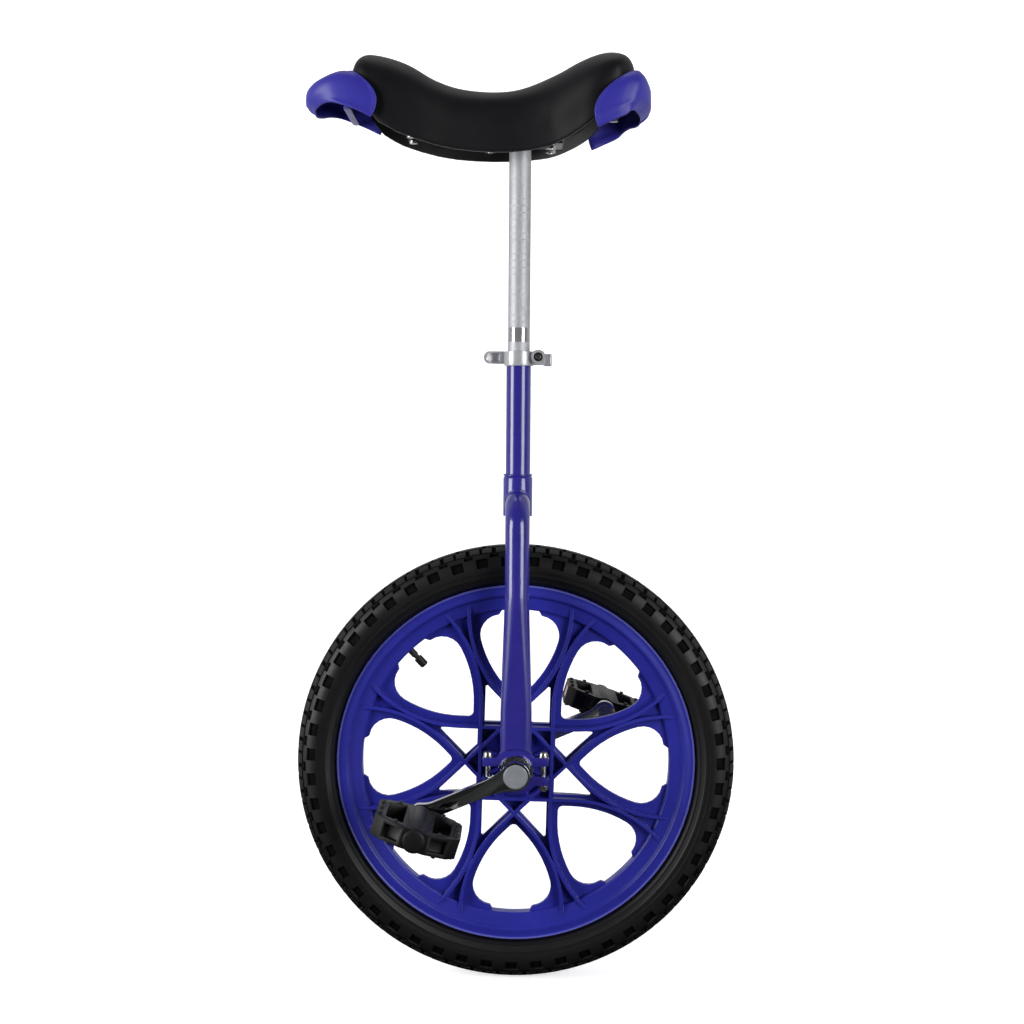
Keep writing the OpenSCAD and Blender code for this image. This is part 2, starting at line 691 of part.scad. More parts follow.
// Pedal parts are drawn about the left spindle
module at_spindle(hand) {
    at_crank() on_side(hand) translate([-crank_len, 0, 0]) children();
}
module at_pedal(hand) {
    turn = pedal_tilt - crank_angle;
    at_spindle(hand) rotate([0, hand == right ? turn : -turn, 0]) children();
}
module pedal_spindle(hand) color(steel) at_spindle(hand) revolve_y() polygon([
    [0, -crank_face + crank_t - 0.5], [spindle_thread_r, -crank_face + crank_t - 0.5],
    [spindle_thread_r, -crank_face - gap], [9, -crank_face - gap], [9, -pedal_in + 1.5],
    [race_in + 1.2, -pedal_in + 0.5], [race_in + 1.2, -row_in + 2.2], [race_in, -row_in + 2],
    [race_in, -row_in - 2.2], [4.6, -row_in - 4], [spindle_r, -row_out + 4],
    [spindle_r, -pedal_out + 2.5], [0, -pedal_out + 2.5]]);
module pedal_lock_nuts() color(steel) for (hand = [left, right]) at_spindle(hand) difference() {
    union() {
        cyl_y(race_in, -row_out - 2.3, -row_out + 2.3);
        translate([0, -row_out - 2.2, 0]) rotate([90, 0, 0]) hex(10.5, 3);
    }
    cyl_y(spindle_r + gap, -pedal_out, -row_out + 5);
}
module pedal_balls(hand) color(bright) at_spindle(hand)
    for (y = [-row_in, -row_out], k = [0:8]) translate([0, y, 0]) rotate([0, 40 * k, 0])
        translate([row_r, 0, 0]) sphere(r = pedal_ball_r, $fn = 24);
module pedal_cups(hand) color(steel) at_pedal(hand) for (y = [-row_in, -row_out]) difference() {
    cyl_y(cup_r, y - cup_half_w, y + cup_half_w);
    cyl_y(race_out, y - 3, y + 3);
}
module pedal_plan() {
    corner_x = pedal_half - 10;
    rise = (corner_x - blunt_x) * tan(slant);
    half = [[blunt_x, -pedal_out], [corner_x, -pedal_out + rise],
        [pedal_half, -pedal_out + rise + 12], [pedal_half, -pedal_in - rise - 12],
        [corner_x, -pedal_in - rise], [blunt_x, -pedal_in]];
    polygon(concat(half, mirror_x(half)));
}
// Openings through the pedal in front of and behind the spindle
module pedal_openings() {
    near_x = 16.5;
    far_x = pedal_half - 11.5;
    near_y = pedal_len / 2 - 12;
    far_y = near_y - (far_x - near_x) * tan(slant);
    opening = [[near_x, -near_y], [far_x, -far_y], [far_x, far_y], [near_x, near_y]];
    translate([0, -pedal_mid, -20]) linear_extrude(40) {
        polygon(opening);
        polygon(mirror_x(opening));
    }
}
module stud(x, y) {
    translate([x, y - pedal_mid, -pedal_half_h - 2.6])
        cylinder(r = 2.3, h = 2 * pedal_half_h + 5.2, $fn = 24);
}
// Blind pockets in the slanted end faces; each end is [y, slant direction, start of the cut]
module end_pockets() {
    for (side = [-1, 1], end = [[-pedal_out, 1, -3], [-pedal_in, -1, -6.5]])
        translate([side * blunt_x, end[0], -7.2]) rotate([0, 0, side * end[1] * slant])
            translate([side > 0 ? 3.5 : -22.5, end[2], 0]) cube([19, 9.5, 14.4]);
}
module pedal_body(hand) color(black) at_pedal(hand) difference() {
    union() {
        translate([0, 0, -pedal_half_h]) linear_extrude(2 * pedal_half_h) pedal_plan();
        cyl_y(13.6, -pedal_out, -pedal_in);
        // studs on the end bars, then on the front and back bars
        for (side = [-1, 1], end = [-1, 1]) stud(side * 25, end * (pedal_len / 2 - 9.8));
        for (side = [-1, 1], y = [-22, 0, 22]) stud(side * (pedal_half - 4.6), y);
    }
    pedal_openings();
    end_pockets();
    // recesses for the reflectors in the front and back walls
    for (side = [-1, 1]) translate([side * (pedal_half - 2.5) - 5, -pedal_mid - 22, -7.5])
        cube([10, 44, 15]);
    // seats of the two cups, and the hole along the spindle
    cyl_y(cup_r + gap / 2, -row_in - cup_half_w - 0.1, -pedal_in + 1);
    cyl_y(cup_r + gap / 2, -pedal_out - 1, -row_out + cup_half_w + 0.1);
    cyl_y(8, -pedal_out - 1, -pedal_in + 1);
}
module pedal_end_cap(hand) color(black) at_pedal(hand) translate([0, -pedal_out, 0])
    revolve_y() polygon([[0, -3.2], [9.4, -3.2], [11.4, -2.5], [12.4, -1.2], [12.4, -0.03],
        [9.9, -0.03], [9.9, 4], [8.4, 4], [8.4, -0.1], [0, -0.1]]);
module pedal_reflectors(hand) color([0.95, 0.45, 0.05]) at_pedal(hand) for (side = [-1, 1])
    translate([side * (pedal_half - 2.4), -pedal_mid, 0] - reflector_size / 2)
        cube(reflector_size);

// ---------------------------------------------------------------- seat post
post_top = 715.5;                  // above the axle
post_bottom = post_top - post_len;
post_wall = 2;
plate_z = post_top + gap;
plate_t = 3;
plate_bolt_x = 35;
plate_bolt_y = 15;

module seat_post() color(bright) at_axle() difference() {
    translate([0, 0, post_bottom]) cylinder(r = post_d / 2, h = post_len);
    translate([0, 0, post_bottom - 1]) cylinder(r = post_d / 2 - post_wall, h = post_len + 2);
}
module post_end_plug() color(black) at_axle() {
    translate([0, 0, post_bottom - 2]) cylinder(r = post_d / 2 - 0.3, h = 2 - gap);
    translate([0, 0, post_bottom - 0.1]) cylinder(r = post_d / 2 - post_wall - gap, h = 14);
}
module at_plate_bolts(z) {
    for (x = [-plate_bolt_x, plate_bolt_x], y = [-plate_bolt_y, plate_bolt_y])
        translate([x, y, z]) children();
}
module post_plate() color([0.3, 0.3, 0.32]) at_axle() difference() {
    translate([-48, -22, plate_z]) cube([96, 44, plate_t]);
    at_plate_bolts(plate_z - 5) cylinder(r = bolt_r + 0.2, h = 20);
}
module post_plate_bolts() color(steel) at_axle() at_plate_bolts(plate_z) {
    translate([0, 0, -6]) cylinder(r = bolt_r, h = 15);
    translate([0, 0, -1.3]) cylinder(r = 6, h = 1.25);
    translate([0, 0, -5.2]) hex(10, 4);
}

// ---------------------------------------------------------------- saddle
// Heights in the tables are above the axle, for a lower edge at 704
saddle_lift = saddle_z - 704;
// Lines along the saddle from front to back: [x, top], [x, lower edge], [x, half width]
top_line = [[-194, 780], [-190.5, 797], [-186, 808], [-179, 813], [-172, 815], [-150, 811.5],
    [-126, 803], [-98, 787], [-70, 778], [-31, 775], [2, 779], [41, 794], [68, 808], [93, 816],
    [114, 815], [122, 811], [127, 803], [130, 790]];
edge_line = [[-194, 766], [-181, 762], [-173, 751], [-165, 739.5], [-143, 726], [-115, 716],
    [-80, 707.5], [-35, 704], [0, 705], [35, 710.5], [60, 722], [81, 736], [91, 746], [100, 757],
    [112, 764], [130, 766]];
half_width_line = [[-194, 25], [-190, 37], [-182, 47], [-167, 52], [-143, 54], [-115, 52],
    [-80, 46], [-35, 42], [0, 43], [35, 51], [60, 62], [81, 71], [98, 73], [110, 70], [121, 58],
    [127, 45], [130, 30]];
// x of the sections of the cover and of the base's hollow, from back to front
cover_xs = concat([130, 127, 123, 119, 114, 107, 98], [for (i = [15:-1:0]) -163 + i * 16.8],
    [-172, -178, -184, -188, -191.5, -194]);
hollow_xs = [116, 91, 69, 50.6, 50, 37, 8, -21, -50, -50.6, -63, -82, -103, -126, -151, -177];
// Screws in pairs: [x, half spacing, boss bottom z, boss radius, boss height, screw length]
screw_table = [[-124, 20, 724, 6.5, 14, 11], [108, 18, 750, 5.4, 32, 12]];
screw_r = 2.5;

function top_z(x) = curve(top_line, x) + saddle_lift;
function edge_z(x) = curve(edge_line, x) + saddle_lift;
function half_width(x) = curve(half_width_line, x);
// Line over the saddle at x from left to right, smaller by inset, with its ends at bottom_z
function crown(x, inset, bottom_z, steps = 14) = let (
        half_w = half_width(x) - inset,
        top = top_z(x) - inset,
        side_z = edge_z(x) + 0.42 * (top_z(x) - edge_z(x)))
    concat([[x, -half_w + 2, bottom_z]],
        [for (i = [0:steps]) let (a = -90 + 180 * i / steps)
            [x, half_w * signed_pow(sin(a), 0.8),
                side_z + (top - side_z) * pow(max(0, cos(a)), 0.75)]],
        [[x, half_w - 2, bottom_z]]);
function box_at(x, half_w, z0, z1) = [[x, -half_w, z0], [x, -half_w, z1], [x, half_w, z1],
    [x, half_w, z0]];

module saddle_cover() color([0.12, 0.12, 0.13]) at_axle()
    band_skin([for (x = cover_xs) crown(x, 0, edge_z(x))],
        [for (x = cover_xs) crown(x, cover_t, edge_z(x))]);
module saddle_foam() color([0.85, 0.8, 0.6]) at_axle()
    skin([for (j = [20:-1:0]) let (x = -181 + j * 303 / 20)
        crown(x, cover_t + 1.2, edge_z(x) + 27, 12)]);
module at_screws(screw) {
    for (y = [-screw[1], screw[1]]) translate([screw[0], y, screw[2] + saddle_lift]) children();
}
module saddle_base($fn = 24) color(black) at_axle() difference() {
    union() {
        difference() {
            skin([for (j = [14:-1:0]) let (x = -182 + j * 302 / 14)
                box_at(x, half_width(x) - cover_t - 3, edge_z(x) - 1, edge_z(x) + 22)]);
            // the underside drops to a flat seat for the post's plate
            skin([for (x = hollow_xs)
                box_at(x, half_width(x) - cover_t - 7, edge_z(x) - 6,
                    abs(x) < 50.3 ? plate_z + plate_t + gap : edge_z(x) + 14)]);
        }
        for (screw = screw_table) at_screws(screw) cylinder(r = screw[3], h = screw[4]);
    }
    at_plate_bolts(700) cylinder(r = bolt_r + gap, h = 25);
    // screw holes from z = 700 to 1 mm past the screw's end
    for (screw = screw_table) at_screws(screw) translate([0, 0, 700 - screw[2]])
        cylinder(r = screw_r + gap, h = screw[2] - 700 + screw[5] - 1);
}
module bumper_screws() color(steel) at_axle() for (screw = screw_table) at_screws(screw) {
    translate([0, 0, -3]) cylinder(r = 5, h = 3 - gap);
    translate([0, 0, -2]) cylinder(r = screw_r, h = screw[5]);
}

// ---------------------------------------------------------------- bumpers
// Each bumper is a hood, open underneath. Its lines lean back with the square of their height
// (sweep) and bulge in between.
// Columns: share of the hood's length, x, half width, top z, lower z, wall, sweep, bulge
front_table = [
    [0, -167, 58.5, 792, 739, 3.4, -26, 9.5], [0.2, -181, 58.5, 792.5, 745.5, 3.4, -20, 5],
    [0.4, -197, 56.5, 791, 751.5, 3.4, -12, 2], [0.6, -214, 52, 787, 754.5, 3.6, -5, 0],
    [0.8, -231, 42, 781, 753.5, 6, -1, 0], [0.93, -240, 30, 773, 753.5, 10, 0, 0],
    [1, -245, 18, 765, 756, 14, 0, 0]];
rear_table = [
    [0, 86.5, 80, 792, 726.5, 3.6, 44, -8.5], [0.2, 99, 81, 792, 733, 3.6, 34, -5],
    [0.4, 113, 80, 790, 739.5, 3.6, 22, -2], [0.6, 127, 75, 785.5, 744, 3.8, 12, 0],
    [0.8, 139, 60, 779.5, 748.5, 6, 4, 0], [0.93, 145, 42, 772, 753, 10, 1, 0],
    [1, 148, 26, 766, 758, 16, 0, 0]];
hood_angles = concat([-90, -89, -84.2], [for (i = [-6:6]) i * 90 / 7], [84.2, 89, 90]);
hood_power = 0.36;                 // squareness of the hood's section
hood_steps = 13;

function hood_value(table, share, column) =
    curve([for (row = table) [row[0], row[column]]], share);
// Line over the hood at a share of its length, smaller by inset
function hood_line(table, share, inset) = let (
        x = hood_value(table, share, 1),
        half_w = max(1, hood_value(table, share, 2) - inset),
        low = hood_value(table, share, 4),
        top = max(low + 0.6, hood_value(table, share, 3) - inset),
        sweep = hood_value(table, share, 6),
        bulge = hood_value(table, share, 7))
    [for (a = hood_angles) let (height = pow(max(0, cos(a)), hood_power))
        [x + bulge * sin(180 * height) + sweep * height * height,
            half_w * signed_pow(sin(a), hood_power),
            low + saddle_lift + (top - low) * height]];
module bumper(table) {
    shares = [for (i = [0:hood_steps]) i / hood_steps];
    band_skin([for (share = shares) hood_line(table, share, 0)],
        [for (share = shares) hood_line(table, share, hood_value(table, share, 5))]);
}
module front_bumper() color(blue) at_axle() bumper(front_table);
// Built facing forwards, since sections run towards -X, then mirrored
module rear_bumper() color(blue) at_axle() mirror([1, 0, 0])
    bumper([for (r = rear_table) [r[0], -r[1], r[2], r[3], r[4], r[5], -r[6], -r[7]]]);

seat_tube();
crown_socket();
fork_leg(left);  // fork_leg_left
fork_leg(right);  // fork_leg_right
bearing_holder(left);  // bearing_holder_left
bearing_holder(right);  // bearing_holder_right
lower_cap(left);  // lower_cap_left
lower_cap(right);  // lower_cap_right
holder_bolts();
holder_nuts();
bearing_outer_ring(left);  // bearing_outer_ring_left
bearing_outer_ring(right);  // bearing_outer_ring_right
bearing_inner_ring(left);  // bearing_inner_ring_left
bearing_inner_ring(right);  // bearing_inner_ring_right
bearing_balls(left);  // bearing_balls_left
bearing_balls(right);  // bearing_balls_right
bearing_shields();
hub_axle();
bearing_spacers();
mag_wheel();
rim_tape();
inner_tube();
valve_cap();
tyre();
crank(left);  // crank_left
crank(right);  // crank_right
crank_bolts();
crank_dust_caps();
pedal_spindle(left);  // pedal_spindle_left
pedal_spindle(right);  // pedal_spindle_right
pedal_lock_nuts();
pedal_body(left);  // pedal_body_left
pedal_body(right);  // pedal_body_right
pedal_cups(left);  // pedal_cups_left
pedal_cups(right);  // pedal_cups_right
pedal_balls(left);  // pedal_balls_left
pedal_balls(right);  // pedal_balls_right
pedal_end_cap(left);  // pedal_end_cap_left
pedal_end_cap(right);  // pedal_end_cap_right
pedal_reflectors(left);  // pedal_reflectors_left
pedal_reflectors(right);  // pedal_reflectors_right
clamp_collar();
clamp_skewer();
clamp_washer();
clamp_lever();
clamp_lever_pin();
clamp_nut();
clamp_nut_ring();
seat_post();
post_end_plug();
post_plate();
post_plate_bolts();
saddle_base();
saddle_foam();
saddle_cover();
front_bumper();
rear_bumper();
bumper_screws();
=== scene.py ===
"""A unicycle: spoked-style wheel, fork frame, knurled seat post and a saddle with two bumpers.

It stands upright on the floor at z = 0, with the axle along y. The saddle's front points to -x
and the rider's left is -y. Shapes are laid out in mm, with heights counted from the axle;
build() turns them into metres above the floor.
"""

import bmesh
import bpy
import json
import math
import numpy as np
from mathutils import Matrix, Vector
from mathutils.kdtree import KDTree


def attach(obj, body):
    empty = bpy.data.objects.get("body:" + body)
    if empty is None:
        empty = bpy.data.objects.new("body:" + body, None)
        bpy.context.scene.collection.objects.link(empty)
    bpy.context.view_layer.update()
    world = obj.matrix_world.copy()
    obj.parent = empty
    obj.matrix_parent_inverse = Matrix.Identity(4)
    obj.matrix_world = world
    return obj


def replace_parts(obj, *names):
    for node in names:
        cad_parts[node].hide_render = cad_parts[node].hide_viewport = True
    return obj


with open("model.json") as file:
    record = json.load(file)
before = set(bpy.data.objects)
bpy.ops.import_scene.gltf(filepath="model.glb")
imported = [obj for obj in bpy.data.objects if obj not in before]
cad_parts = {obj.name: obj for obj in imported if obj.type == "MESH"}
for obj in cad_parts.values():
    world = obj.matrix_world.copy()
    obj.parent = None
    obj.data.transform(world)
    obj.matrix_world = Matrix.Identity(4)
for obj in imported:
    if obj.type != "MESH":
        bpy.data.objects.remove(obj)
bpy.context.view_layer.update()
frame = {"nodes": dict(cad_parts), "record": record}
NODES = frame["nodes"]

# The tyre's section is a circle of TYRE_SECTION_R whose centre runs TYRE_RING_R from the axle.
TYRE_RING_R, TYRE_SECTION_R = 230.0, 27.0
AXLE_Z = (TYRE_RING_R + TYRE_SECTION_R) / 1000   # metres above the floor
SIDES = ((-1, "left"), (1, "right"))             # sign of y, name


# ---------------------------------------------------------------- shader nodes
def rgb(*channels):
    """Linear RGBA from 8-bit sRGB."""
    def linear(value):
        return value / 12.92 if value <= 0.04045 else ((value + 0.055) / 1.055) ** 2.4
    return (*(linear(channel / 255) for channel in channels), 1.0)


class Nodes:
    """A node tree. Methods add nodes and return their output sockets."""

    def __init__(self, tree):
        self.tree = tree
        tree.nodes.clear()

    def feed(self, node, inputs):
        """Links or sets inputs, given by socket name or number."""
        for key, value in inputs.items():
            if isinstance(value, bpy.types.NodeSocket):
                self.tree.links.new(value, node.inputs[key])
            else:
                node.inputs[key].default_value = value

    def node(self, kind, inputs={}, **settings):
        node = self.tree.nodes.new("ShaderNode" + kind)
        for key, value in settings.items():
            setattr(node, key, value)
        self.feed(node, inputs)
        return node

    def ramp(self, factor, low, high):
        """Colour ramp between two stops, each (position, colour)."""
        node = self.node("ValToRGB", {0: factor})
        for element, stop in zip(node.color_ramp.elements, (low, high)):
            element.position, element.color = stop
        return node.outputs[0]

    def remap(self, value, span=(0.0, 1.0), to=(0.0, 1.0)):
        return self.node("MapRange", {
            "From Min": span[0], "From Max": span[1],
            "To Min": to[0], "To Max": to[1], "Value": value}).outputs[0]

    def mix(self, factor, first, second):
        """Colour mix: first at factor 0, second at factor 1."""
        inputs = {0: factor, 6: first, 7: second}
        return self.node("Mix", inputs, data_type="RGBA").outputs[2]

    def split(self, vector):
        return self.node("SeparateXYZ", {0: vector}).outputs

    def camera_ray(self):
        return self.node("LightPath").outputs["Is Camera Ray"]

    def math(self, operation, *operands):
        return self.node("Math", dict(enumerate(operands)), operation=operation).outputs[0]

    def hypot(self, a, b):
        squares = self.math("MULTIPLY", a, a), self.math("MULTIPLY", b, b)
        return self.math("SQRT", self.math("ADD", *squares))


class Shader(Nodes):
    """A Principled material. edge is the radius in metres that rounds the shading of edges."""

    def __init__(self, name, edge=None):
        self.material = bpy.data.materials.new(name)
        self.material.use_nodes = True
        super().__init__(self.material.node_tree)
        output = self.node("OutputMaterial")
        self.principled = self.node("BsdfPrincipled")
        self.feed(output, {0: self.principled.outputs[0]})
        self.coords = self.node("TexCoord").outputs["Object"]
        self.normal = None
        if edge:
            self.set_normal(self.node("Bevel", {"Radius": edge}, samples=4))

    def set_normal(self, node):
        self.normal = node.outputs[0]
        self.surface(Normal=self.normal)

    def surface(self, **inputs):
        """Sets Principled inputs, with _ for the spaces in their names."""
        self.feed(self.principled, {key.replace("_", " "): v for key, v in inputs.items()})

    def noise(self, scale, detail=4.0, roughness=0.55, vector=None, distortion=0.0):
        return self.node("TexNoise", {
            "Scale": scale, "Detail": detail, "Roughness": roughness, "Distortion": distortion,
            "Vector": self.coords if vector is None else vector}).outputs["Fac"]

    def voronoi(self, scale, feature="F1", randomness=1.0):
        inputs = {"Scale": scale, "Randomness": randomness, "Vector": self.coords}
        return self.node("TexVoronoi", inputs, feature=feature).outputs["Distance"]

    def stretched(self, *scales):
        return self.node("Mapping", {"Scale": scales, "Vector": self.coords}).outputs[0]

    def mottle(self, low, high, **noise):
        """Noise coloured between two (position, colour) stops."""
        return self.ramp(self.noise(**noise), low, high)

    def vary(self, low, high, **noise):
        """Noise spread from low to high."""
        return self.remap(self.noise(**noise), to=(low, high))

    def bump(self, height, strength, distance):
        inputs = {"Strength": strength, "Distance": distance, "Height": height}
        if self.normal is not None:
            inputs["Normal"] = self.normal
        self.set_normal(self.node("Bump", inputs))

    def grain(self, strength, distance, **noise):
        self.bump(self.noise(**noise), strength, distance)

    def occlusion(self, distance, span, inside=False):
        """1 in crevices and 0 in the open; inside finds edges that stand out instead."""
        node = self.node("AmbientOcclusion", {"Distance": distance},
                         inside=inside, only_local=True, samples=6)
        return self.remap(node.outputs["AO"], span=span, to=(1.0, 0.0))

    def wheel_position(self):
        """Distance from the axle line, and y, in metres."""
        x, y, z = self.split(self.coords)
        return self.hypot(x, self.math("SUBTRACT", z, AXLE_Z)), y


# ---------------------------------------------------------------- materials
def enamel(name, dark, light, roughness, coat):
    m = Shader(name, edge=0.0007)
    m.surface(
        Base_Color=m.mottle((0.35, dark), (0.7, light), scale=14, detail=3),
        Roughness=m.vary(roughness * 0.8, roughness * 1.35, scale=60, detail=5),
        Coat_Weight=coat, Coat_Roughness=0.06, Specular_IOR_Level=0.5)
    m.grain(strength=0.05, distance=0.0004, scale=420, detail=2)
    m.grain(strength=0.04, distance=0.0001, scale=2600, detail=2)
    return m


def moulded_nylon():
    m = Shader("moulded_nylon", edge=0.0011)
    skin = m.mottle((0.3, rgb(38, 41, 148)), (0.72, rgb(46, 49, 164)),
                    scale=9, roughness=0.6, distortion=0.6)
    # painted highlight: the flange lip is painted pale to stand in for its highlight line
    radius, y = m.wheel_position()
    ring = m.math("MULTIPLY", m.remap(radius, span=(0.2074, 0.2082)),
                  m.remap(radius, span=(0.2108, 0.2116), to=(1.0, 0.0)))
    lip = m.math("MULTIPLY", ring, m.remap(m.math("ABSOLUTE", y), span=(0.0135, 0.0142)))
    m.surface(
        Base_Color=m.mix(m.math("MULTIPLY", lip, 0.6), skin, rgb(118, 121, 212)),
        Roughness=m.vary(0.26, 0.42, scale=120, detail=6, roughness=0.7),
        Specular_IOR_Level=0.5, Coat_Weight=0.12, Coat_Roughness=0.25)
    m.grain(strength=0.10, distance=0.0003, scale=900, roughness=0.7)
    m.grain(strength=0.06, distance=0.0012, scale=55, detail=2)
    return m


def moulded_bumper():
    m = Shader("moulded_bumper", edge=0.0008)
    skin = m.mottle((0.3, rgb(49, 46, 150)), (0.72, rgb(58, 54, 165)), scale=16, detail=3)
    # painted highlight: edges that stand out, found by inward occlusion, are painted paler to
    # stand in for their highlight lines
    edge_highlight = m.occlusion(distance=0.0011, span=(0.35, 0.95), inside=True)
    m.surface(
        Base_Color=m.mix(m.math("MULTIPLY", edge_highlight, 0.4), skin, rgb(108, 104, 204)),
        Roughness=m.vary(0.36, 0.5, scale=150, detail=6, roughness=0.7),
        Specular_IOR_Level=0.34, Coat_Weight=0.04, Coat_Roughness=0.35)
    m.grain(strength=0.08, distance=0.0002, scale=1300, roughness=0.7)
    return m


def tyre_rubber():
    m = Shader("tyre_rubber")
    dust = m.noise(scale=7, detail=3)
    rubber = m.mottle((0.3, rgb(10, 10, 12)), (0.75, rgb(17, 17, 19)),
                      scale=35, detail=6, roughness=0.65)
    # painted shade: crevices found by occlusion are darkened towards near black, and made
    # rougher
    painted_recess_shade = m.occlusion(distance=0.005, span=(0.45, 0.92))
    dusty = m.remap(dust, span=(0.35, 0.8), to=(0.0, 0.16))
    rubber = m.mix(dusty, rubber, rgb(38, 37, 37))
    # the tread floors, well inside the section circle, are dull, and painted shade darkens them
    # in patches
    radius, y = m.wheel_position()
    section = m.hypot(m.math("SUBTRACT", radius, TYRE_RING_R / 1000), y)
    floor = m.remap(section, span=(0.0246, 0.0254), to=(1.0, 0.0))
    shade_patches = m.remap(m.noise(scale=95, roughness=0.65), span=(0.3, 0.7), to=(0.28, 0.86))
    painted_recess_shade = m.math("MAXIMUM", painted_recess_shade, m.math("MULTIPLY", floor, shade_patches))
    # painted shade: the recesses and tread floors are mixed towards near black
    m.surface(
        Base_Color=m.mix(painted_recess_shade, rubber, rgb(3, 3, 3)),
        Roughness=m.math("ADD", m.vary(0.38, 0.56, scale=210, detail=5),
                         m.math("MULTIPLY", painted_recess_shade, 0.4)),
        Specular_IOR_Level=m.math("SUBTRACT", 0.36, m.math("MULTIPLY", floor, 0.3)))
    m.grain(strength=0.20, distance=0.0003, scale=1500, roughness=0.7)
    return m


def soft_rubber():
    m = Shader("soft_rubber", edge=0.0005)
    m.surface(
        Base_Color=m.mottle((0.3, rgb(18, 18, 19)), (0.8, rgb(36, 36, 37)), scale=70, detail=5),
        Roughness=m.vary(0.45, 0.7, scale=260, detail=5))
    m.grain(strength=0.2, distance=0.0002, scale=1800, detail=3)
    return m


def metal(name, dark, light, edge, streak, roughness=None, bump=0.06, metallic=1.0, aniso=0.0):
    """streak is the noise scale along x, y and z; roughness is (low, high)."""
    m = Shader(name, edge=edge)
    streaks = m.noise(scale=1, detail=6, roughness=0.7, vector=m.stretched(*streak))
    m.surface(Base_Color=m.ramp(streaks, (0.3, rgb(*dark)), (0.75, rgb(*light))),
              Metallic=metallic, Anisotropic=aniso)
    if roughness:
        finer = m.stretched(streak[0] * 2, streak[1] * 2, streak[2] * 0.6)
        m.surface(Roughness=m.vary(*roughness, scale=1, detail=5, roughness=0.7, vector=finer))
    m.bump(streaks, strength=bump, distance=0.0001)
    return m


def chrome_tube():
    m = metal("chrome_tube", (170, 171, 175), (190, 191, 195), edge=0.0003,
              streak=(500, 500, 60), bump=0.05, metallic=0.62, aniso=0.2)
    # the plain band below the knurling is polished
    z = m.split(m.coords)[2]
    band = m.math("MULTIPLY", m.math("GREATER_THAN", z, 0.7483),
                  m.math("LESS_THAN", z, 0.7648))
    m.surface(Roughness=m.math("SUBTRACT", m.vary(0.50, 0.62, scale=90),
                               m.math("MULTIPLY", band, 0.42)))
    return m


def grey_cap():
    m = Shader("grey_cap", edge=0.0006)
    m.surface(
        Base_Color=m.mottle((0.3, rgb(128, 132, 139)), (0.75, rgb(146, 150, 157)),
                            scale=120, detail=6, roughness=0.7),
        Roughness=m.vary(0.34, 0.5, scale=600))
    m.grain(strength=0.12, distance=0.0002, scale=2500, detail=3)
    return m


def black_moulding():
    m = Shader("black_moulding", edge=0.0006)
    m.surface(
        Base_Color=m.mottle((0.3, rgb(12, 12, 14)), (0.8, rgb(21, 21, 22)),
                            scale=80, detail=6, roughness=0.65),
        Roughness=m.vary(0.36, 0.56, scale=380, detail=5), Specular_IOR_Level=0.36)
    m.grain(strength=0.22, distance=0.0003, scale=1600, roughness=0.7)
    return m


def amber_reflector():
    m = Shader("amber_reflector", edge=0.0004)
    prisms = m.voronoi(scale=420, randomness=0.0)
    m.surface(
        Base_Color=m.ramp(prisms, (0.0, rgb(240, 110, 20)), (0.6, rgb(176, 52, 8))),
        Roughness=m.vary(0.08, 0.2, scale=200),
        Coat_Weight=0.6, Coat_Roughness=0.05, Transmission_Weight=0.15)
    m.bump(prisms, strength=0.5, distance=0.0008)
    return m


def saddle_vinyl():
    m = Shader("saddle_vinyl")
    cells = m.voronoi(scale=620, feature="DISTANCE_TO_EDGE")
    fine = m.noise(scale=1500, roughness=0.7)
    leather = m.math("ADD", m.ramp(cells, (0.0, (0, 0, 0, 1)), (0.22, (1, 1, 1, 1))),
                     m.math("MULTIPLY", fine, 0.35))
    m.surface(
        Base_Color=m.mottle((0.3, rgb(15, 15, 18)), (0.75, rgb(21, 21, 24)), scale=26),
        Roughness=m.vary(0.42, 0.54, scale=40, detail=5, roughness=0.6),
        Specular_IOR_Level=0.2, Sheen_Weight=0.05, Sheen_Roughness=0.4)
    m.bump(leather, strength=0.10, distance=0.00025)
    m.grain(strength=0.08, distance=0.002, scale=22, detail=2)
    return m


def foam_pad():
    m = Shader("foam_pad")
    m.surface(Base_Color=m.ramp(m.voronoi(scale=900), (0.0, rgb(150, 138, 92)),
                                (0.6, rgb(206, 194, 140))),
              Roughness=0.9)
    m.bump(m.voronoi(scale=900), strength=0.6, distance=0.0006)
    return m


SHADERS = {                                      # by material slot
    "frame_paint": enamel("violet_enamel", rgb(44, 41, 134), rgb(52, 48, 148),
                          roughness=0.2, coat=0.55),
    "wheel_plastic": moulded_nylon(),
    "bumper_plastic": moulded_bumper(),
    "tyre_rubber": tyre_rubber(),
    "rubber_dark": soft_rubber(),
    "zinc_steel": metal("zinc_plate", (178, 178, 172), (206, 205, 200), edge=0.0004,
                        streak=(300, 300, 300), roughness=(0.18, 0.34)),
    "bearing_steel": metal("ground_steel", (190, 191, 194), (215, 216, 219), edge=0.0003,
                           streak=(200, 1500, 200), roughness=(0.10, 0.2)),
    "crank_chrome": metal("nickel_chrome", (196, 198, 200), (220, 222, 224), edge=0.0008,
                          streak=(30, 400, 90), roughness=(0.04, 0.11), bump=0.02),
    "post_chrome": chrome_tube(),
    "clamp_aluminium": metal("polished_alloy", (186, 187, 191), (206, 207, 211), edge=0.0006,
                             streak=(240, 240, 700), roughness=(0.24, 0.36), bump=0.05,
                             metallic=0.34),
    "brass_washer": metal("brass", (170, 140, 80), (196, 166, 104), edge=0.0003,
                          streak=(300, 300, 300), roughness=(0.16, 0.3)),
    "black_steel": enamel("black_enamel", rgb(16, 16, 17), rgb(26, 26, 27),
                          roughness=0.35, coat=0.2),
    "grey_plastic": grey_cap(),
    "black_plastic": black_moulding(),
    "amber_lens": amber_reflector(),
    "saddle_vinyl": saddle_vinyl(),
    "foam": foam_pad(),
}


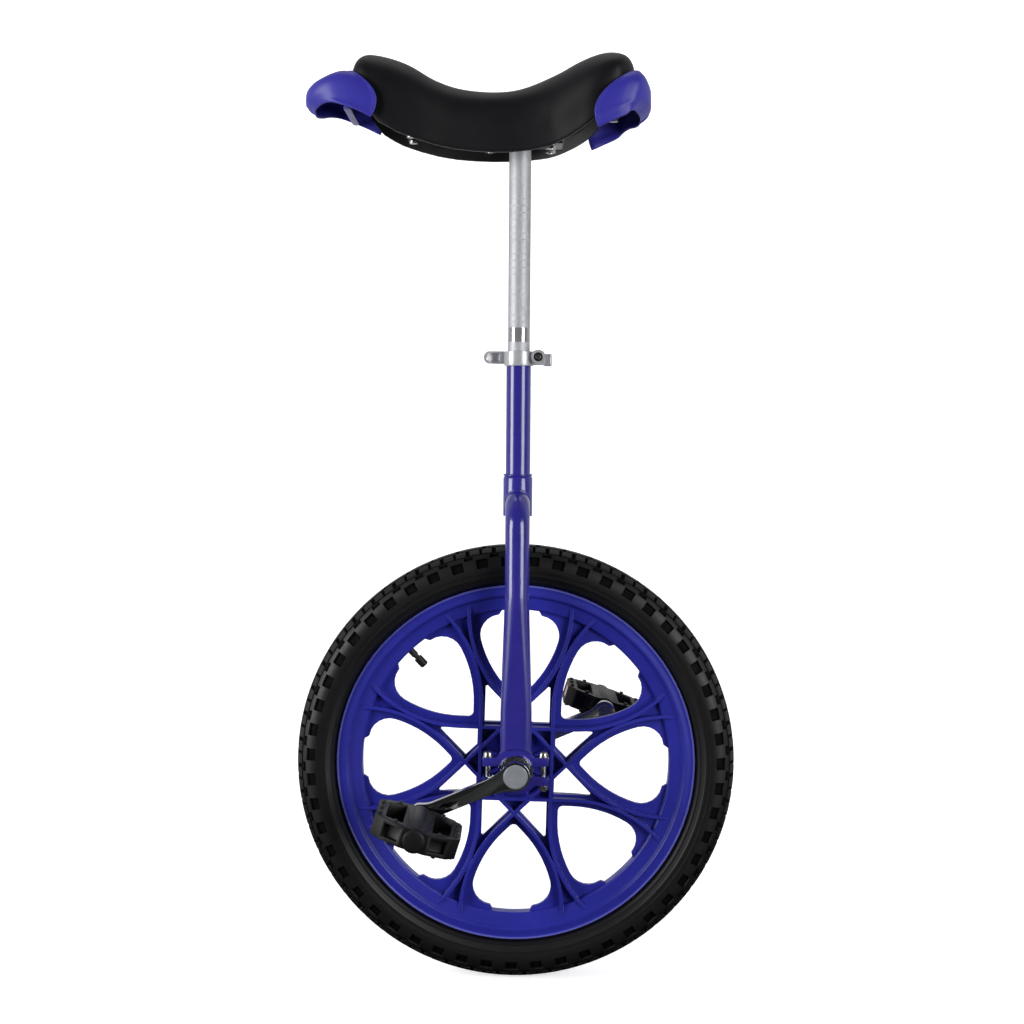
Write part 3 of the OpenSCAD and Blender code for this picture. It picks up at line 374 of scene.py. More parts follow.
# ---------------------------------------------------------------- mesh helpers
def mesh_object(name, vertices, faces):
    """A linked object with its normals facing out."""
    mesh = bpy.data.meshes.new(name)
    mesh.from_pydata([tuple(map(float, v)) for v in vertices], [], faces)
    mesh.validate()
    thing = bpy.data.objects.new(name, mesh)
    bpy.context.scene.collection.objects.link(thing)
    work = bmesh.new()
    work.from_mesh(mesh)
    bmesh.ops.recalc_face_normals(work, faces=work.faces)
    work.to_mesh(mesh)
    work.free()
    return thing


def shade_smooth(mesh):
    mesh.polygons.foreach_set("use_smooth", [True] * len(mesh.polygons))


def split_edges(thing, degrees):
    thing.modifiers.new("edges", "EDGE_SPLIT").split_angle = math.radians(degrees)


def build(name, points, faces, slot, body, split=None):
    """A smooth part from points in mm above the axle; edges over split degrees stay sharp."""
    points = np.array(points, float).reshape(-1, 3) / 1000 + (0, 0, AXLE_Z)
    thing = mesh_object(name, points, faces)
    shade_smooth(thing.data)
    thing.data.materials.append(SHADERS[slot].material)
    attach(thing, body)
    if split:
        split_edges(thing, split)
    return thing


def grid_faces(rows, columns, close_rows=False, close_columns=False):
    faces = []
    for i in range(rows if close_rows else rows - 1):
        row, after = i * columns, (i + 1) % rows * columns
        for j in range(columns if close_columns else columns - 1):
            k = (j + 1) % columns
            faces.append((row + j, after + j, after + k, row + k))
    return faces


def shell_faces(rows, across, rim):
    """Faces of a shell whose rows run outer sheet, rim, inner sheet, rim; both ends closed."""
    loop = 2 * (across + rim)
    faces = grid_faces(rows, loop, close_columns=True)
    for base in (0, (rows - 1) * loop):
        inner = base + across + rim
        for j in range(across - 1):
            k = inner + across - 2 - j
            faces.append((base + j, base + j + 1, k, k + 1))
        faces.append(tuple(range(base + across - 1, inner + 1)))
        faces.append((*range(inner + across - 1, base + loop), base))
    return faces


def curve_at(table, x):
    """Smooth curve through a table of (x, value): cubic, with slopes from the neighbours."""
    knots, values = np.array(table, float).T
    i = np.clip(np.searchsorted(knots, x, "right") - 1, 0, len(knots) - 2)
    slopes = np.empty(len(knots))
    slopes[0] = (values[1] - values[0]) / (knots[1] - knots[0])
    slopes[-1] = (values[-1] - values[-2]) / (knots[-1] - knots[-2])
    slopes[1:-1] = (values[2:] - values[:-2]) / (knots[2:] - knots[:-2])
    gap = knots[i + 1] - knots[i]
    s = (x - knots[i]) / gap
    return ((2 * s**3 - 3 * s**2 + 1) * values[i] + (s**3 - 2 * s**2 + s) * gap * slopes[i]
            + (3 * s**2 - 2 * s**3) * values[i + 1] + (s**3 - s**2) * gap * slopes[i + 1])


def signed_power(value, exponent):
    return np.sign(value) * np.abs(value) ** exponent


def sheet_normals(sheet, outward, rows=slice(None)):
    """Unit normals of a grid of points, turned to agree with outward over the given rows."""
    normals = np.cross(np.gradient(sheet, axis=0), np.gradient(sheet, axis=1))
    normals /= np.linalg.norm(normals, axis=-1, keepdims=True) + 1e-9
    return normals if (normals[rows] * outward[rows]).sum() > 0 else -normals


def turn(count):
    """Evenly spaced angles over a full turn."""
    return np.linspace(0, 2 * math.pi, count, endpoint=False)


def around_axle(profile, angle):
    """Places (radius, y) points at an angle round the axle, from the top towards +x."""
    return [(r * math.sin(angle), y, r * math.cos(angle)) for r, y in profile]


# ---------------------------------------------------------------- CAD parts that stay
BEVELS = {"clamp_collar": 0.0009, "clamp_lever": 0.0012}   # metres
for _, side_name in SIDES:
    for part, width in (("crank", 0.0013), ("bearing_holder", 0.0009),
                        ("lower_cap", 0.0009), ("pedal_body", 0.0008)):
        BEVELS[f"{part}_{side_name}"] = width


def dress(name, slot):
    """Gives a CAD part its material, welded vertices and, where listed, rounded edges."""
    thing = NODES[name]
    mesh = thing.data
    mesh.materials.clear()
    mesh.materials.append(SHADERS[slot].material)
    shade_smooth(mesh)
    mesh.polygons.foreach_set("material_index", [0] * len(mesh.polygons))
    thing.modifiers.new("weld", "WELD").merge_threshold = 1e-5
    if name in BEVELS:
        planar = thing.modifiers.new("planar", "DECIMATE")
        planar.decimate_type = "DISSOLVE"
        planar.angle_limit = math.radians(1)
        bevel = thing.modifiers.new("round", "BEVEL")
        bevel.width = BEVELS[name]
        bevel.segments = 2
        bevel.limit_method = "ANGLE"
        bevel.angle_limit = math.radians(28)
        bevel.harden_normals = False
        bevel.use_clamp_overlap = True
        bevel.loop_slide = True
        bevel.miter_outer = "MITER_ARC"
    split_edges(thing, 32)


SLOTS = {part["node"]: part["material_slot"] for part in frame["record"]["subparts"]}
for node_name in NODES:
    dress(node_name, SLOTS[node_name])

# ---------------------------------------------------------------- tyre
TREAD_REPEATS = 51
# mesh stations along one tread repeat, as shares of it
TREAD_STATIONS = [
    0.0, 0.06, 0.085, 0.16, 0.185, 0.255, 0.28, 0.30, 0.325, 0.40, 0.44, 0.465, 0.535, 0.56,
    0.60, 0.675, 0.70, 0.72, 0.745, 0.815, 0.84, 0.915, 0.94]
# mesh stations round the section, in degrees from the crown
SECTION_ANGLES = [
    0, 5, 10, 15, 17, 18.2, 21, 22.2, 27, 32, 37, 41.5, 42.7, 44.5, 45.5, 50, 55, 56.2, 57.4,
    58.7, 63, 68, 72.5, 77, 80.6, 82.3, 85, 89, 93, 96.4, 97.6, 101, 105, 107, 109, 111, 115,
    119, 122, 124, 126, 129, 132]
# (radius from the axle, y) from the sidewall into the tyre
TYRE_BEAD = [(211.2, 14.7), (210.6, 10.8), (204.2, 10.4), (203.5, 9.4), (203.6, 7.6)]


def tread_height(angle, share):
    """Height over the section circle; share is the place along one tread repeat."""
    def within(start, end):
        return start - 1e-6 <= share <= end + 1e-6

    away = abs(angle)
    if away == 0:
        return 0.0
    if away <= 18.2:                             # centre rib with a pocket on each side
        start, end = (0.30, 0.465) if angle > 0 else (0.56, 0.70)
        pocket = start + 0.024 < share < end - 0.024 and away < 17.2
        return -3.0 if away >= 17.6 or pocket else 0.0
    if away < 22.0:                              # groove beside the rib
        return -3.0
    if away <= 42.0:                             # inner blocks, two gaps a repeat
        return -2.7 if within(0.94, 1) or within(0, 0.06) or within(0.465, 0.535) else -0.1
    if away < 45.0:                              # shallow groove
        return -1.9
    if away <= 97.0:                             # shoulder with notches, then side pockets
        if away < 55.6 and (within(0, 0.16) or within(0.84, 1)):
            return -2.9
        if 58.0 < away < 81.5 and within(0.28, 0.72):
            return -3.3 + 0.4 * max(0, (away - 68) / 13)
        return -0.2 if away < 66 else -0.2 - 0.65 * ((away - 66) / 31) ** 1.2
    # sidewall with two raised rings: centre, half width, height
    rings = ((108.0, 2.2, 0.55), (124.0, 2.2, 0.5))
    return -1.35 + max(h * max(0.0, 1 - ((away - c) / w) ** 2) for c, w, h in rings)


def section_point(radius, degrees):
    angle = math.radians(degrees)
    return TYRE_RING_R + radius * math.cos(angle), radius * math.sin(angle)


def tyre_tread():
    start = 0.125                                # share of a repeat before the first station
    inner_radius, inner_reach, inner_steps = 22, 158, 12
    angles = [-a for a in SECTION_ANGLES[:0:-1]] + SECTION_ANGLES
    inner = [section_point(inner_radius, inner_reach - i * (2 * inner_reach / inner_steps))
             for i in range(inner_steps + 1)]
    lining = TYRE_BEAD + inner + [(r, -y) for r, y in TYRE_BEAD[::-1]]
    points = []
    for repeat in range(TREAD_REPEATS):
        for share in TREAD_STATIONS:
            outer = [section_point(TYRE_SECTION_R + tread_height(a, share), a) for a in angles]
            place = (repeat + share + start) / TREAD_REPEATS * 2 * math.pi
            points += around_axle(outer + lining, place)
    faces = grid_faces(TREAD_REPEATS * len(TREAD_STATIONS), len(angles) + len(lining),
                       True, True)
    return build("tyre_tread", points, faces, "tyre_rubber", "wheel", split=38)


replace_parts(tyre_tread(), "tyre")

# ---------------------------------------------------------------- saddle cover
# Columns: x, then the height of the top line, the height of the lower edge, the half width.
SADDLE_TOP = [
    (-194, 780), (-190.5, 797), (-186, 808), (-179, 813), (-172, 815), (-150, 811.5),
    (-126, 803), (-98, 787), (-70, 778), (-31, 775), (2, 779), (41, 794), (68, 808), (93, 816),
    (114, 815), (122, 811), (127, 803), (130, 790)]
SADDLE_EDGE = [
    (-194, 766), (-181, 762), (-173, 751), (-165, 739.5), (-143, 726), (-115, 716),
    (-80, 707.5), (-35, 704), (0, 705), (35, 710.5), (60, 722), (81, 736), (91, 746),
    (100, 757), (112, 764), (130, 766)]
SADDLE_HALF_WIDTH = [
    (-194, 25), (-190, 37), (-182, 47), (-167, 52), (-143, 54), (-115, 52), (-80, 46),
    (-35, 42), (0, 43), (35, 51), (60, 62), (81, 71), (98, 73), (110, 70), (121, 58),
    (127, 45), (130, 30)]
# mesh stations along x, closer at both ends
SADDLE_STATIONS = np.concatenate([
    [-194, -193.3, -192.3, -191, -189, -186, -182], np.linspace(-177, 100, 57),
    [105, 109.5, 113.5, 117, 120, 122.5, 124.8, 126.8, 128.4, 129.5, 130]])
PAD_INSET = 5.0
COVER_WALL = 2.4


def cover_sheet():
    """The cover's outer surface, a grid of points from the left edge over to the right."""
    lean = 2                                     # how far the flanks draw in at the edge
    shoulder = 0.42                              # share of the height taken by the flanks
    x = SADDLE_STATIONS[:, None]
    half_width = curve_at(SADDLE_HALF_WIDTH, x)
    top = curve_at(SADDLE_TOP, x)
    edge = curve_at(SADDLE_EDGE, x)
    bend = edge + shoulder * (top - edge)
    rise = np.linspace(0, 1, 9)[:-1]
    flank_y = half_width - lean * (1 - rise)
    flank_z = edge + (bend - edge) * rise
    angle = np.radians(np.linspace(-90, 90, 41))
    crown_y = half_width * signed_power(np.sin(angle), 0.8)
    crown_z = bend + (top - bend) * np.clip(np.cos(angle), 0, 1) ** 0.75
    y = np.hstack([-flank_y, crown_y, flank_y[:, ::-1]])
    z = np.hstack([flank_z, crown_z, flank_z[:, ::-1]])
    return np.stack([x + 0 * y, y, z], -1)


def inflate_pad(pad, cap):
    """Inflates the closed pad with Cloth; returns its rest points and moves, at most cap."""
    rows, across = pad.shape[:2]
    faces = grid_faces(rows, across)
    for i in range(rows - 1):                    # flat underside
        a, b = i * across, (i + 1) * across
        faces.append((a, a + across - 1, b + across - 1, b))
    faces.append(tuple(range(across)))
    faces.append(tuple(range(rows * across - 1, (rows - 1) * across - 1, -1)))
    thing = mesh_object("pad_sim", pad.reshape(-1, 3) / 1000, faces)
    remesh = thing.modifiers.new("remesh", "REMESH")
    remesh.mode = "VOXEL"
    remesh.voxel_size = 0.005
    graph = bpy.context.evaluated_depsgraph_get()
    voxels = bpy.data.meshes.new_from_object(thing.evaluated_get(graph))
    thing.modifiers.clear()
    thing.data = voxels
    rest = np.array([v.co[:] for v in voxels.vertices])

    # hold everything close to the lower edge
    edge = curve_at(SADDLE_EDGE, rest[:, 0] * 1000) / 1000
    low = [i for i in range(len(rest)) if rest[i, 2] < edge[i] + 0.006]
    thing.vertex_groups.new(name="pin").add(low, 1.0, "REPLACE")
    cloth = thing.modifiers.new("cloth", "CLOTH")
    settings = cloth.settings
    settings.quality = 6
    settings.mass = 0.25
    settings.vertex_group_mass = "pin"
    settings.tension_stiffness = 14
    settings.compression_stiffness = 10
    settings.shear_stiffness = 6
    settings.bending_stiffness = 1.2
    settings.use_pressure = True
    settings.uniform_pressure_force = 4.0
    settings.effector_weights.gravity = 0.0
    cloth.collision_settings.use_self_collision = False
    cloth.collision_settings.use_collision = False

    scene = bpy.context.scene
    scene.frame_start, scene.frame_end = 1, 20
    for step in range(1, 21):
        scene.frame_set(step)
    evaluated = thing.evaluated_get(bpy.context.evaluated_depsgraph_get())
    end = np.array([v.co[:] for v in evaluated.to_mesh().vertices])
    evaluated.to_mesh_clear()
    scene.frame_set(1)
    thing.modifiers.clear()
    bpy.data.objects.remove(thing)
    moves = (end - rest) * 1000
    length = np.linalg.norm(moves, axis=1, keepdims=True)
    return rest * 1000, moves * np.minimum(1.0, cap / np.maximum(length, 1e-6))


def swell(sheet, normals):
    """Moves the sheet with the inflated pad, fading out towards both lower edges."""
    pad = sheet - normals * PAD_INSET
    rest, moves = inflate_pad(pad, cap=9.0)
    tree = KDTree(len(rest))
    for i, point in enumerate(rest):
        tree.insert(point, i)
    tree.balance()
    swelling = np.zeros_like(sheet)
    for i, j in np.ndindex(sheet.shape[:2]):
        near = tree.find_n(pad[i, j], 10)
        swelling[i, j] = np.average([moves[k] for _, k, _ in near], axis=0,
                                    weights=[1 / (gap * gap + 6.0) for _, _, gap in near])
    # take off the typical swelling, so that the silhouette keeps its place
    typical = np.median((swelling * normals).sum(-1))
    column = np.arange(sheet.shape[1])
    fade = np.minimum(1.0, np.minimum(column, column[::-1]) / 7.0)[None, :, None]
    return sheet + (swelling - normals * typical) * fade


def saddle_skin():
    """A thin closed shell: outer sheet, lower rim, inner sheet."""
    sheet = cover_sheet()
    normals = sheet_normals(sheet, outward=sheet * (0, 1, 1) - (0, 0, 700))
    outer = swell(sheet, normals)
    inner = sheet - normals * COVER_WALL

    def rim(column):
        return ((outer[:, column] + inner[:, column]) / 2 - (0, 0, 0.7))[:, None]

    points = np.concatenate([outer, rim(-1), inner[:, ::-1], rim(0)], axis=1)
    faces = shell_faces(*sheet.shape[:2], rim=1)
    skin = build("saddle_skin", points, faces, "saddle_vinyl", "saddle")
    soft = skin.modifiers.new("soft", "SUBSURF")
    soft.levels = soft.render_levels = 1
    return skin


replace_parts(saddle_skin(), "saddle_cover")

# ---------------------------------------------------------------- bumpers
# Columns: share of the way from the saddle to the tip, x, half width, height of the top,
# height of the lower edge, wall, x shift of the top line, x shift at mid height.
FRONT_BUMPER = [
    (0, -167, 58.5, 792, 739, 3.4, -26, 9.5), (0.2, -181, 58.5, 792.5, 745.5, 3.4, -20, 5),
    (0.4, -197, 56.5, 791, 751.5, 3.4, -12, 2), (0.6, -214, 52, 787, 756, 3.6, -5, 0),
    (0.8, -231, 42, 781, 757, 5, -1, 0), (0.92, -240.5, 30, 775, 753.5, 5, 0, 0),
    (0.97, -244, 19, 771, 751.5, 5, 0, 0), (1, -245.4, 9, 768.5, 750.5, 4, 0, 0)]
REAR_BUMPER = [
    (0, 86.5, 80, 791.5, 726.5, 4.6, 44, -8.5), (0.2, 99, 81, 791.5, 732, 4.0, 34, -5),
    (0.4, 113, 80, 789.5, 738, 4.0, 22, -2), (0.6, 127, 75, 785, 744, 4.2, 12, 0),
    (0.8, 139, 60, 779.5, 747, 5, 4, 0), (0.92, 145.3, 42, 775, 746, 5, 1, 0),
    (0.97, 147.6, 26, 771.5, 744.5, 4, 0, 0), (1, 148.6, 10, 769, 743.5, 3, 0, 0)]
ROLL_ANGLES = np.radians([35, 65, 90, 115, 145])     # round the lower rim
CAP_ANGLES = np.radians([78, 52, 26])                # round the rim towards the saddle


def bumper_section():
    """Half-width and height shares of a superellipse, from one lower edge to the other."""
    exponent = 0.38
    power = 2 / exponent
    wall = np.linspace(0, 0.70, 20)
    corner = np.radians(np.linspace(64, 40, 9))
    roof = np.linspace(0.82, 0.0, 14)
    width = np.concatenate([(1 - wall ** power) ** (1 / power), np.sin(corner) ** exponent,
                            roof])
    height = np.concatenate([wall, np.cos(corner) ** exponent,
                             (1 - roof ** power) ** (1 / power)])
    return (np.concatenate([-width, width[-2::-1]]), np.concatenate([height, height[-2::-1]]))


def bumper(name, table, lip, crease, curl):
    """lip is the raised rim's height, curl the x shift of the tip's lower edge."""
    across, up = bumper_section()
    along = np.concatenate([np.linspace(0, 0.8, 37),
                            0.8 + 0.2 * np.sin(np.linspace(0, math.pi / 2, 17))[1:]])[:, None]
    table = np.array(table, float)
    x, half_width, top, bottom, wall, sweep, bulge = (
        curve_at(table[:, [0, column]], along) for column in range(1, 8))
    tuck = np.clip((along - 0.4) / 0.5, 0, 1)
    tuck = tuck * tuck * (3 - 2 * tuck) * np.clip(1 - up / 0.5, 0, 1) ** 2
    outer = np.stack([x + bulge * np.sin(math.pi * up) + sweep * up ** 2 + curl * tuck,
                      half_width * across, bottom + (top - bottom) * up], -1)
    centre = ((table[0, 1] + table[-1, 1]) / 2, 0, 760.0)
    normals = sheet_normals(outer, outer - centre, rows=slice(5, 30))

    # relief by distance from the lower edge and from the rim towards the saddle
    above_edge = (top - bottom) * up
    steps = np.linalg.norm(np.diff(outer, axis=0), axis=-1)
    from_rim = np.vstack([np.zeros(len(up)), np.cumsum(steps, axis=0)])
    fade = np.clip((1 - along) / 0.12, 0, 1)
    relief = lip * np.exp(-(np.minimum(above_edge, from_rim) / 2.4) ** 2) * fade
    if crease:                                   # a flat bevel and a ridge by the lower edge
        bevel = np.clip(1 - above_edge / 9.5, 0, 1) * np.clip((9.5 - above_edge) / 1.2, 0, 1)
        ridge = np.exp(-((above_edge - 10.5) / 1.3) ** 2)
        relief = relief - 1.7 * bevel * fade + 0.5 * ridge * fade
    outer = outer + normals * relief[..., None]

    wall = np.minimum(wall, 0.42 * half_width)[..., None]
    inner = outer - normals * wall
    inner[:, [0, -1], 2] = outer[:, [0, -1], 2]

    def roll(start, end):
        """Lower rim, bulging down between two edges."""
        middle = (start + end) / 2
        return (middle[:, None] + (start - middle)[:, None] * np.cos(ROLL_ANGLES)[:, None]
                + wall / 2 * np.sin(ROLL_ANGLES)[:, None] * (0, 0, -1.0))

    def loop(line):
        rim = len(ROLL_ANGLES)
        return np.vstack([line, [line[-1]] * rim, line[::-1], [line[0]] * rim])

    rows = np.concatenate([outer, roll(outer[:, -1], inner[:, -1]),
                           inner[:, ::-1], roll(inner[:, 0], outer[:, 0])], axis=1)
    direction = outer[0] - outer[1]
    direction /= np.linalg.norm(direction, axis=-1, keepdims=True)
    middle = loop((outer[0] + inner[0]) / 2)
    reach = loop(direction) * wall[0, 0] / 2
    caps = [middle + (rows[0] - middle) * math.cos(a) + reach * math.sin(a)
            for a in CAP_ANGLES]
    points = np.concatenate([caps, rows])
    faces = shell_faces(len(points), len(up), rim=len(ROLL_ANGLES))
    return build(name, points, faces, "bumper_plastic", "saddle", split=50)


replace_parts(bumper("front_hood", FRONT_BUMPER, lip=0.9, crease=False, curl=8.5),
            "front_bumper")
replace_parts(bumper("rear_hood", REAR_BUMPER, lip=0.7, crease=True, curl=-10.5), "rear_bumper")


def hood_strap():
    """An oval bar across the saddle's front end, rounded off at both ends."""
    x, z, half_length = -194, 749, 56
    half_x, half_z = 4.2, 2.4
    rings, sides = 24, 14
    points = []
    for i in range(rings):
        share = i / (rings - 1)
        size = math.sin(min(1.0, min(share, 1 - share) * 14 + 0.05) * math.pi / 2)
        for angle in turn(sides):
            points.append((x + half_x * size * signed_power(math.cos(angle), 0.6),
                           half_length * (2 * share - 1),
                           z + half_z * size * signed_power(math.sin(angle), 0.6)))
    faces = grid_faces(rings, sides, close_columns=True)
    faces += [tuple(range(start, start + sides)) for start in (0, (rings - 1) * sides)]
    build("hood_strap", points, faces, "wheel_plastic", "saddle", split=60)


hood_strap()

# ---------------------------------------------------------------- seat post
POST_TOP, POST_LENGTH, POST_R = 715.5, 297, 12.7
POST_BOTTOM = POST_TOP - POST_LENGTH
BAND_START, KNURL_START, KNURL_END = 489.8, 508, 699.9
KNURL_REPEATS, KNURL_PITCH, KNURL_DEPTH = 48, 1.66, 0.26


def post_radius(z, angle):
    if z in (POST_BOTTOM, POST_TOP):
        return POST_R - 0.5
    if KNURL_START + 0.2 < z < KNURL_END:        # two crossed sets of grooves
        turns, rise = angle / (2 * math.pi) * KNURL_REPEATS, (z - KNURL_START) / KNURL_PITCH
        gap = 2 * min(abs((turns + rise) % 1 - 0.5), abs((turns - rise) % 1 - 0.5))
        return POST_R - KNURL_DEPTH * (1 - min(1.0, gap / 0.45))
    if BAND_START < z < KNURL_START:
        return POST_R - 0.02
    return POST_R - (0.1 if z > KNURL_START else 0.03)


def post_tube():
    heights = np.concatenate([
        [POST_BOTTOM, POST_BOTTOM + 0.5, POST_BOTTOM + 1.2],
        np.linspace(POST_BOTTOM + 6, 489, 8), [489.6, 490.2], np.linspace(492, 507, 5),
        [507.6, 508.2], np.arange(509, 699.5, 0.75),
        [700, POST_TOP - 1, POST_TOP - 0.4, POST_TOP]])
    bore = ((POST_TOP, 10.9), (POST_TOP - 0.4, 10.7),
            (POST_BOTTOM + 0.4, 10.7), (POST_BOTTOM, 10.9))
    angles = turn(192)
    rings = [(z, [post_radius(z, a) for a in angles]) for z in heights]
    rings += [(z, [radius] * len(angles)) for z, radius in bore]
    points = [(r * math.cos(a), r * math.sin(a), z)
              for z, radii in rings for r, a in zip(radii, angles)]
    faces = grid_faces(len(rings), len(angles), True, True)
    return build("post_tube", points, faces, "post_chrome", "post_slide", split=50)


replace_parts(post_tube(), "seat_post")

# ---------------------------------------------------------------- rim lips
# (radius, distance from the wheel's mid plane): the flange lip and the bevelled band inside
RIM_PROFILE = [
    (209.9, 12.9), (210.3, 13.5), (210.1, 14.2), (209.4, 14.7), (208.5, 14.7), (207.8, 14.3),
    (207.3, 13.95), (205, 14.15), (202, 14.5), (199.6, 14.95), (198.4, 14.95), (197.5, 14.5),
    (196.9, 13.7), (196.3, 12.3), (196.0, 11.9), (197.5, 12.2), (203, 13.2)]
RIM_STEPS = 240
for side, side_name in SIDES:
    profile = [(r, side * y) for r, y in RIM_PROFILE]
    build("rim_lip_" + side_name, [around_axle(profile, a) for a in turn(RIM_STEPS)],
          grid_faces(RIM_STEPS, len(profile), True, True), "wheel_plastic", "wheel", split=40)


# ---------------------------------------------------------------- clamp details
def rounded_block(name, centre, half_size, exponent, body):
    """A superellipsoid: exponent 1 is an ellipsoid, and less is squarer."""
    rings, sides = 20, 28
    points = []
    for a in np.linspace(-math.pi / 2, math.pi / 2, rings + 2)[1:-1]:
        for b in turn(sides):
            shape = signed_power([math.cos(a), math.sin(a), math.cos(a)], exponent)
            shape *= signed_power([math.cos(b), 1, math.sin(b)], exponent)
            points.append(np.array(centre) + np.array(half_size) * shape)
    last = rings * sides - 1
    faces = grid_faces(rings, sides, close_columns=True)
    faces += [tuple(range(sides)), tuple(range(last, last - sides, -1))]
    build(name, points, faces, "clamp_aluminium", body, split=50)


rounded_block("clamp_band_end", centre=(33.4, 0, 471.0), half_size=(5.2, 7.4, 7.2),
              exponent=0.35, body="frame")
nut_face = 1000 * min((NODES[name].matrix_world @ v.co).y
                      for name in ("clamp_nut", "clamp_nut_ring")
                      for v in NODES[name].data.vertices)
rounded_block("clamp_nut_button", centre=(22.3, nut_face + 0.8, 474.1),
              half_size=(2.7, 1.2, 2.7), exponent=1.0, body="clamp_nut_body")


# ---------------------------------------------------------------- weld beads
def weld_bead(name, path, radius, seed):
    """A closed bead along the path, uneven and rippled."""
    sides = 10
    ripple, ripple_pitch = 0.10, 2.1
    path = np.array(path, float)
    tangent = np.roll(path, -1, 0) - np.roll(path, 1, 0)
    tangent /= np.linalg.norm(tangent, axis=1, keepdims=True)
    length = np.append(0, np.cumsum(np.linalg.norm(np.diff(path, axis=0), axis=1)))
    uneven = np.append(np.random.default_rng(seed).uniform(-0.12, 0.12, 8), 0)
    uneven = np.interp(length, np.linspace(0, length[-1], 9), uneven)
    radii = radius * (1 + uneven + ripple * np.cos(2 * math.pi * length / ripple_pitch))
    up = np.where(np.abs(tangent[:, 2:]) < 0.9, [0, 0, 1.0], [1.0, 0, 0])
    across = np.cross(tangent, up)
    across /= np.linalg.norm(across, axis=1, keepdims=True)
    over = np.cross(across, tangent)
    angle = turn(sides)[:, None]
    ring = across[:, None] * np.cos(angle) + over[:, None] * np.sin(angle)
    build(name, path[:, None] + ring * radii[:, None, None],
          grid_faces(len(path), sides, True, True), "frame_paint", "frame")


def crown_path(side):
    """A circle seen along y, wrapped onto an upright cylinder round z."""
    ring, cylinder, height = 14.2, 17.2, 306
    return [(ring * math.cos(a),
             side * (math.sqrt(cylinder ** 2 - (ring * math.cos(a)) ** 2) + 0.2),
             height + ring * math.sin(a)) for a in turn(140)]


def leg_path(side):
    """A flattened ring at a leg's foot, wrapped onto a cylinder round the axle."""
    half_x, half_y, leg_y, cylinder = 17.9, 6.764, 50, 27.1
    path = []
    for a in turn(180):
        x = signed_power(math.cos(a), 0.55) * half_x
        y = side * leg_y + signed_power(math.sin(a), 0.9) * half_y
        path.append((x, y, math.sqrt(cylinder ** 2 - x * x) + 0.1))
    return path


for side, side_name in SIDES:
    weld_bead("crown_weld_" + side_name, crown_path(side), radius=1.7, seed=3 + side)
    weld_bead("leg_weld_" + side_name, leg_path(side), radius=1.3, seed=11 + side)
SOCKET_R, SOCKET_Z = 15.81, 337.6
weld_bead("socket_weld", [(SOCKET_R * math.cos(a), SOCKET_R * math.sin(a), SOCKET_Z)
                          for a in turn(130)], radius=1.1, seed=21)


# ---------------------------------------------------------------- stage (metres)
def pale_paper():
    """Bright to the camera, dark to other rays close to the product and pale further off."""
    m = Shader("pale_paper")
    seen = m.camera_ray()
    x, y, _ = m.split(m.node("NewGeometry").outputs["Position"])
    far = m.math("MAXIMUM", m.remap(m.math("ABSOLUTE", x), span=(1.0, 1.7)),
                 m.remap(y, span=(0.2, 1.0)))
    paper = m.mottle((0.3, (0.86, 0.86, 0.875, 1)), (0.7, (0.88, 0.88, 0.895, 1)), scale=3)
    unseen = m.mix(far, (0.035, 0.036, 0.035, 1), (0.45, 0.45, 0.46, 1))
    unseen_glow = m.math("MULTIPLY", m.math("SUBTRACT", 1.0, seen),
                         m.math("MULTIPLY", far, 0.25))
    m.surface(
        Base_Color=m.mix(seen, unseen, paper),
        Roughness=0.9, Specular_IOR_Level=0.1, Emission_Color=(0.985, 0.985, 1.0, 1),
        Emission_Strength=m.math("ADD", m.math("MULTIPLY", seen, 0.62), unseen_glow))
    return m.material


def floor():
    """A floor that curves up into a back wall at +y."""
    half_width, front, bend_start, bend_r, wall_top = 5.0, -4.0, 2.6, 1.6, 6.0
    profile = [(front, 0.0), (0.0, 0.0), (bend_start, 0.0)]
    profile += [(bend_start + bend_r * math.sin(a), bend_r - bend_r * math.cos(a))
                for a in np.radians(np.linspace(8, 90, 12))]
    profile.append((bend_start + bend_r, wall_top))
    count = len(profile)
    mesh = bpy.data.meshes.new("floor")
    mesh.from_pydata([(x, y, z) for x in (-half_width, half_width) for y, z in profile], [],
                     [(i, i + 1, count + i + 1, count + i) for i in range(count - 1)])
    shade_smooth(mesh)
    thing = bpy.data.objects.new("floor", mesh)
    bpy.context.scene.collection.objects.link(thing)
    mesh.materials.append(pale_paper())


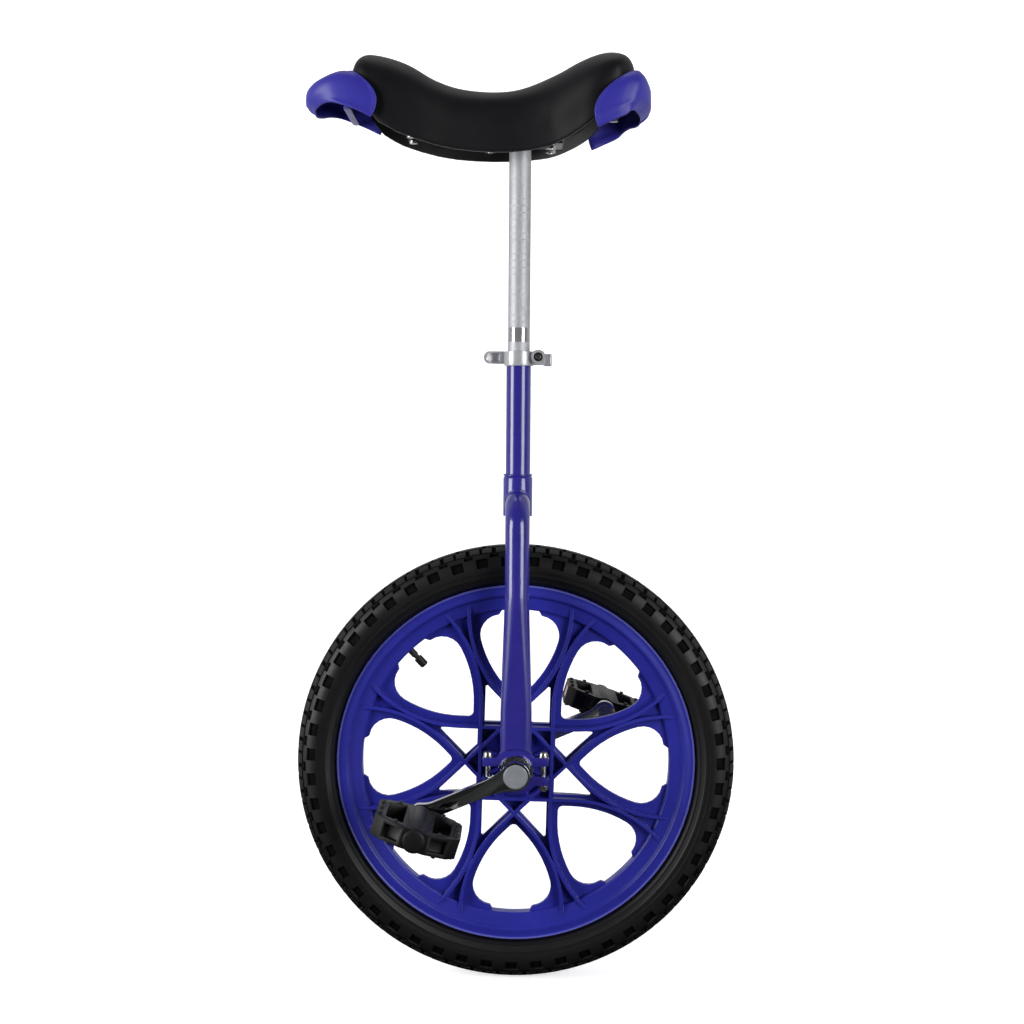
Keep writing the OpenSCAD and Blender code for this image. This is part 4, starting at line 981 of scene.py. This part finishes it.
def area_light(name, location, size, power, target=(0, 0, 0.5)):
    light = bpy.data.lights.new(name, "AREA")
    light.shape = "RECTANGLE"
    light.size, light.size_y = size
    light.energy = power
    lamp = bpy.data.objects.new(name, light)
    bpy.context.scene.collection.objects.link(lamp)
    lamp.location = location
    lamp.rotation_mode = "QUATERNION"
    lamp.rotation_quaternion = (Vector(location) - Vector(target)).to_track_quat("Z", "Y")


def studio_world():
    """White to the camera; to other rays, dark from the front (-y) and pale from behind."""
    world = bpy.data.worlds.new("studio")
    bpy.context.scene.world = world
    world.use_nodes = True
    w = Nodes(world.node_tree)
    y = w.split(w.node("TexCoord").outputs["Generated"])[1]
    room = w.ramp(w.remap(y, span=(-1, 1)),
                  (0.34, (0.03, 0.031, 0.03, 1)), (0.72, (0.92, 0.92, 0.95, 1)))
    colour = w.mix(w.camera_ray(), room, (1.5, 1.5, 1.53, 1))
    background = w.node("Background", {0: colour, "Strength": 0.62})
    w.node("OutputWorld", {0: background.outputs[0]})


def camera():
    """Looks along +y and slightly down."""
    pitch, yaw, roll = map(math.radians, (3.80, -0.25, 0.42))
    view = bpy.data.objects.new("camera", bpy.data.cameras.new("camera"))
    bpy.context.scene.collection.objects.link(view)
    view.data.sensor_width = 36
    view.data.lens = 54.31640625
    view.data.clip_start = 0.05
    view.data.clip_end = 50
    forward = Vector((math.sin(yaw) * math.cos(pitch), math.cos(yaw) * math.cos(pitch),
                      -math.sin(pitch)))
    level = Vector((math.cos(yaw), -math.sin(yaw), 0))
    upright = level.cross(forward)
    right = level * math.cos(roll) + upright * math.sin(roll)
    up = -level * math.sin(roll) + upright * math.cos(roll)
    matrix = Matrix((right, up, -forward)).transposed().to_4x4()
    matrix.translation = (0.0013, -1.8, 0.6707)
    view.matrix_world = matrix
    bpy.context.scene.camera = view


floor()
area_light("key_left", (-2.35, -1.2, 0.95), size=(1.3, 1.7), power=62)
area_light("key_right", (1.8, -1.75, 0.95), size=(1.2, 1.7), power=46)
area_light("top", (0, 0.5, 3.0), size=(1.6, 1.2), power=6)
area_light("back_wash", (0, 1.4, 2.6), size=(5.0, 1.6), power=60, target=(0, 4.2, 1.0))
studio_world()
camera()
bpy.context.scene.view_settings.view_transform = "Standard"
bpy.context.scene.view_settings.look = "None"
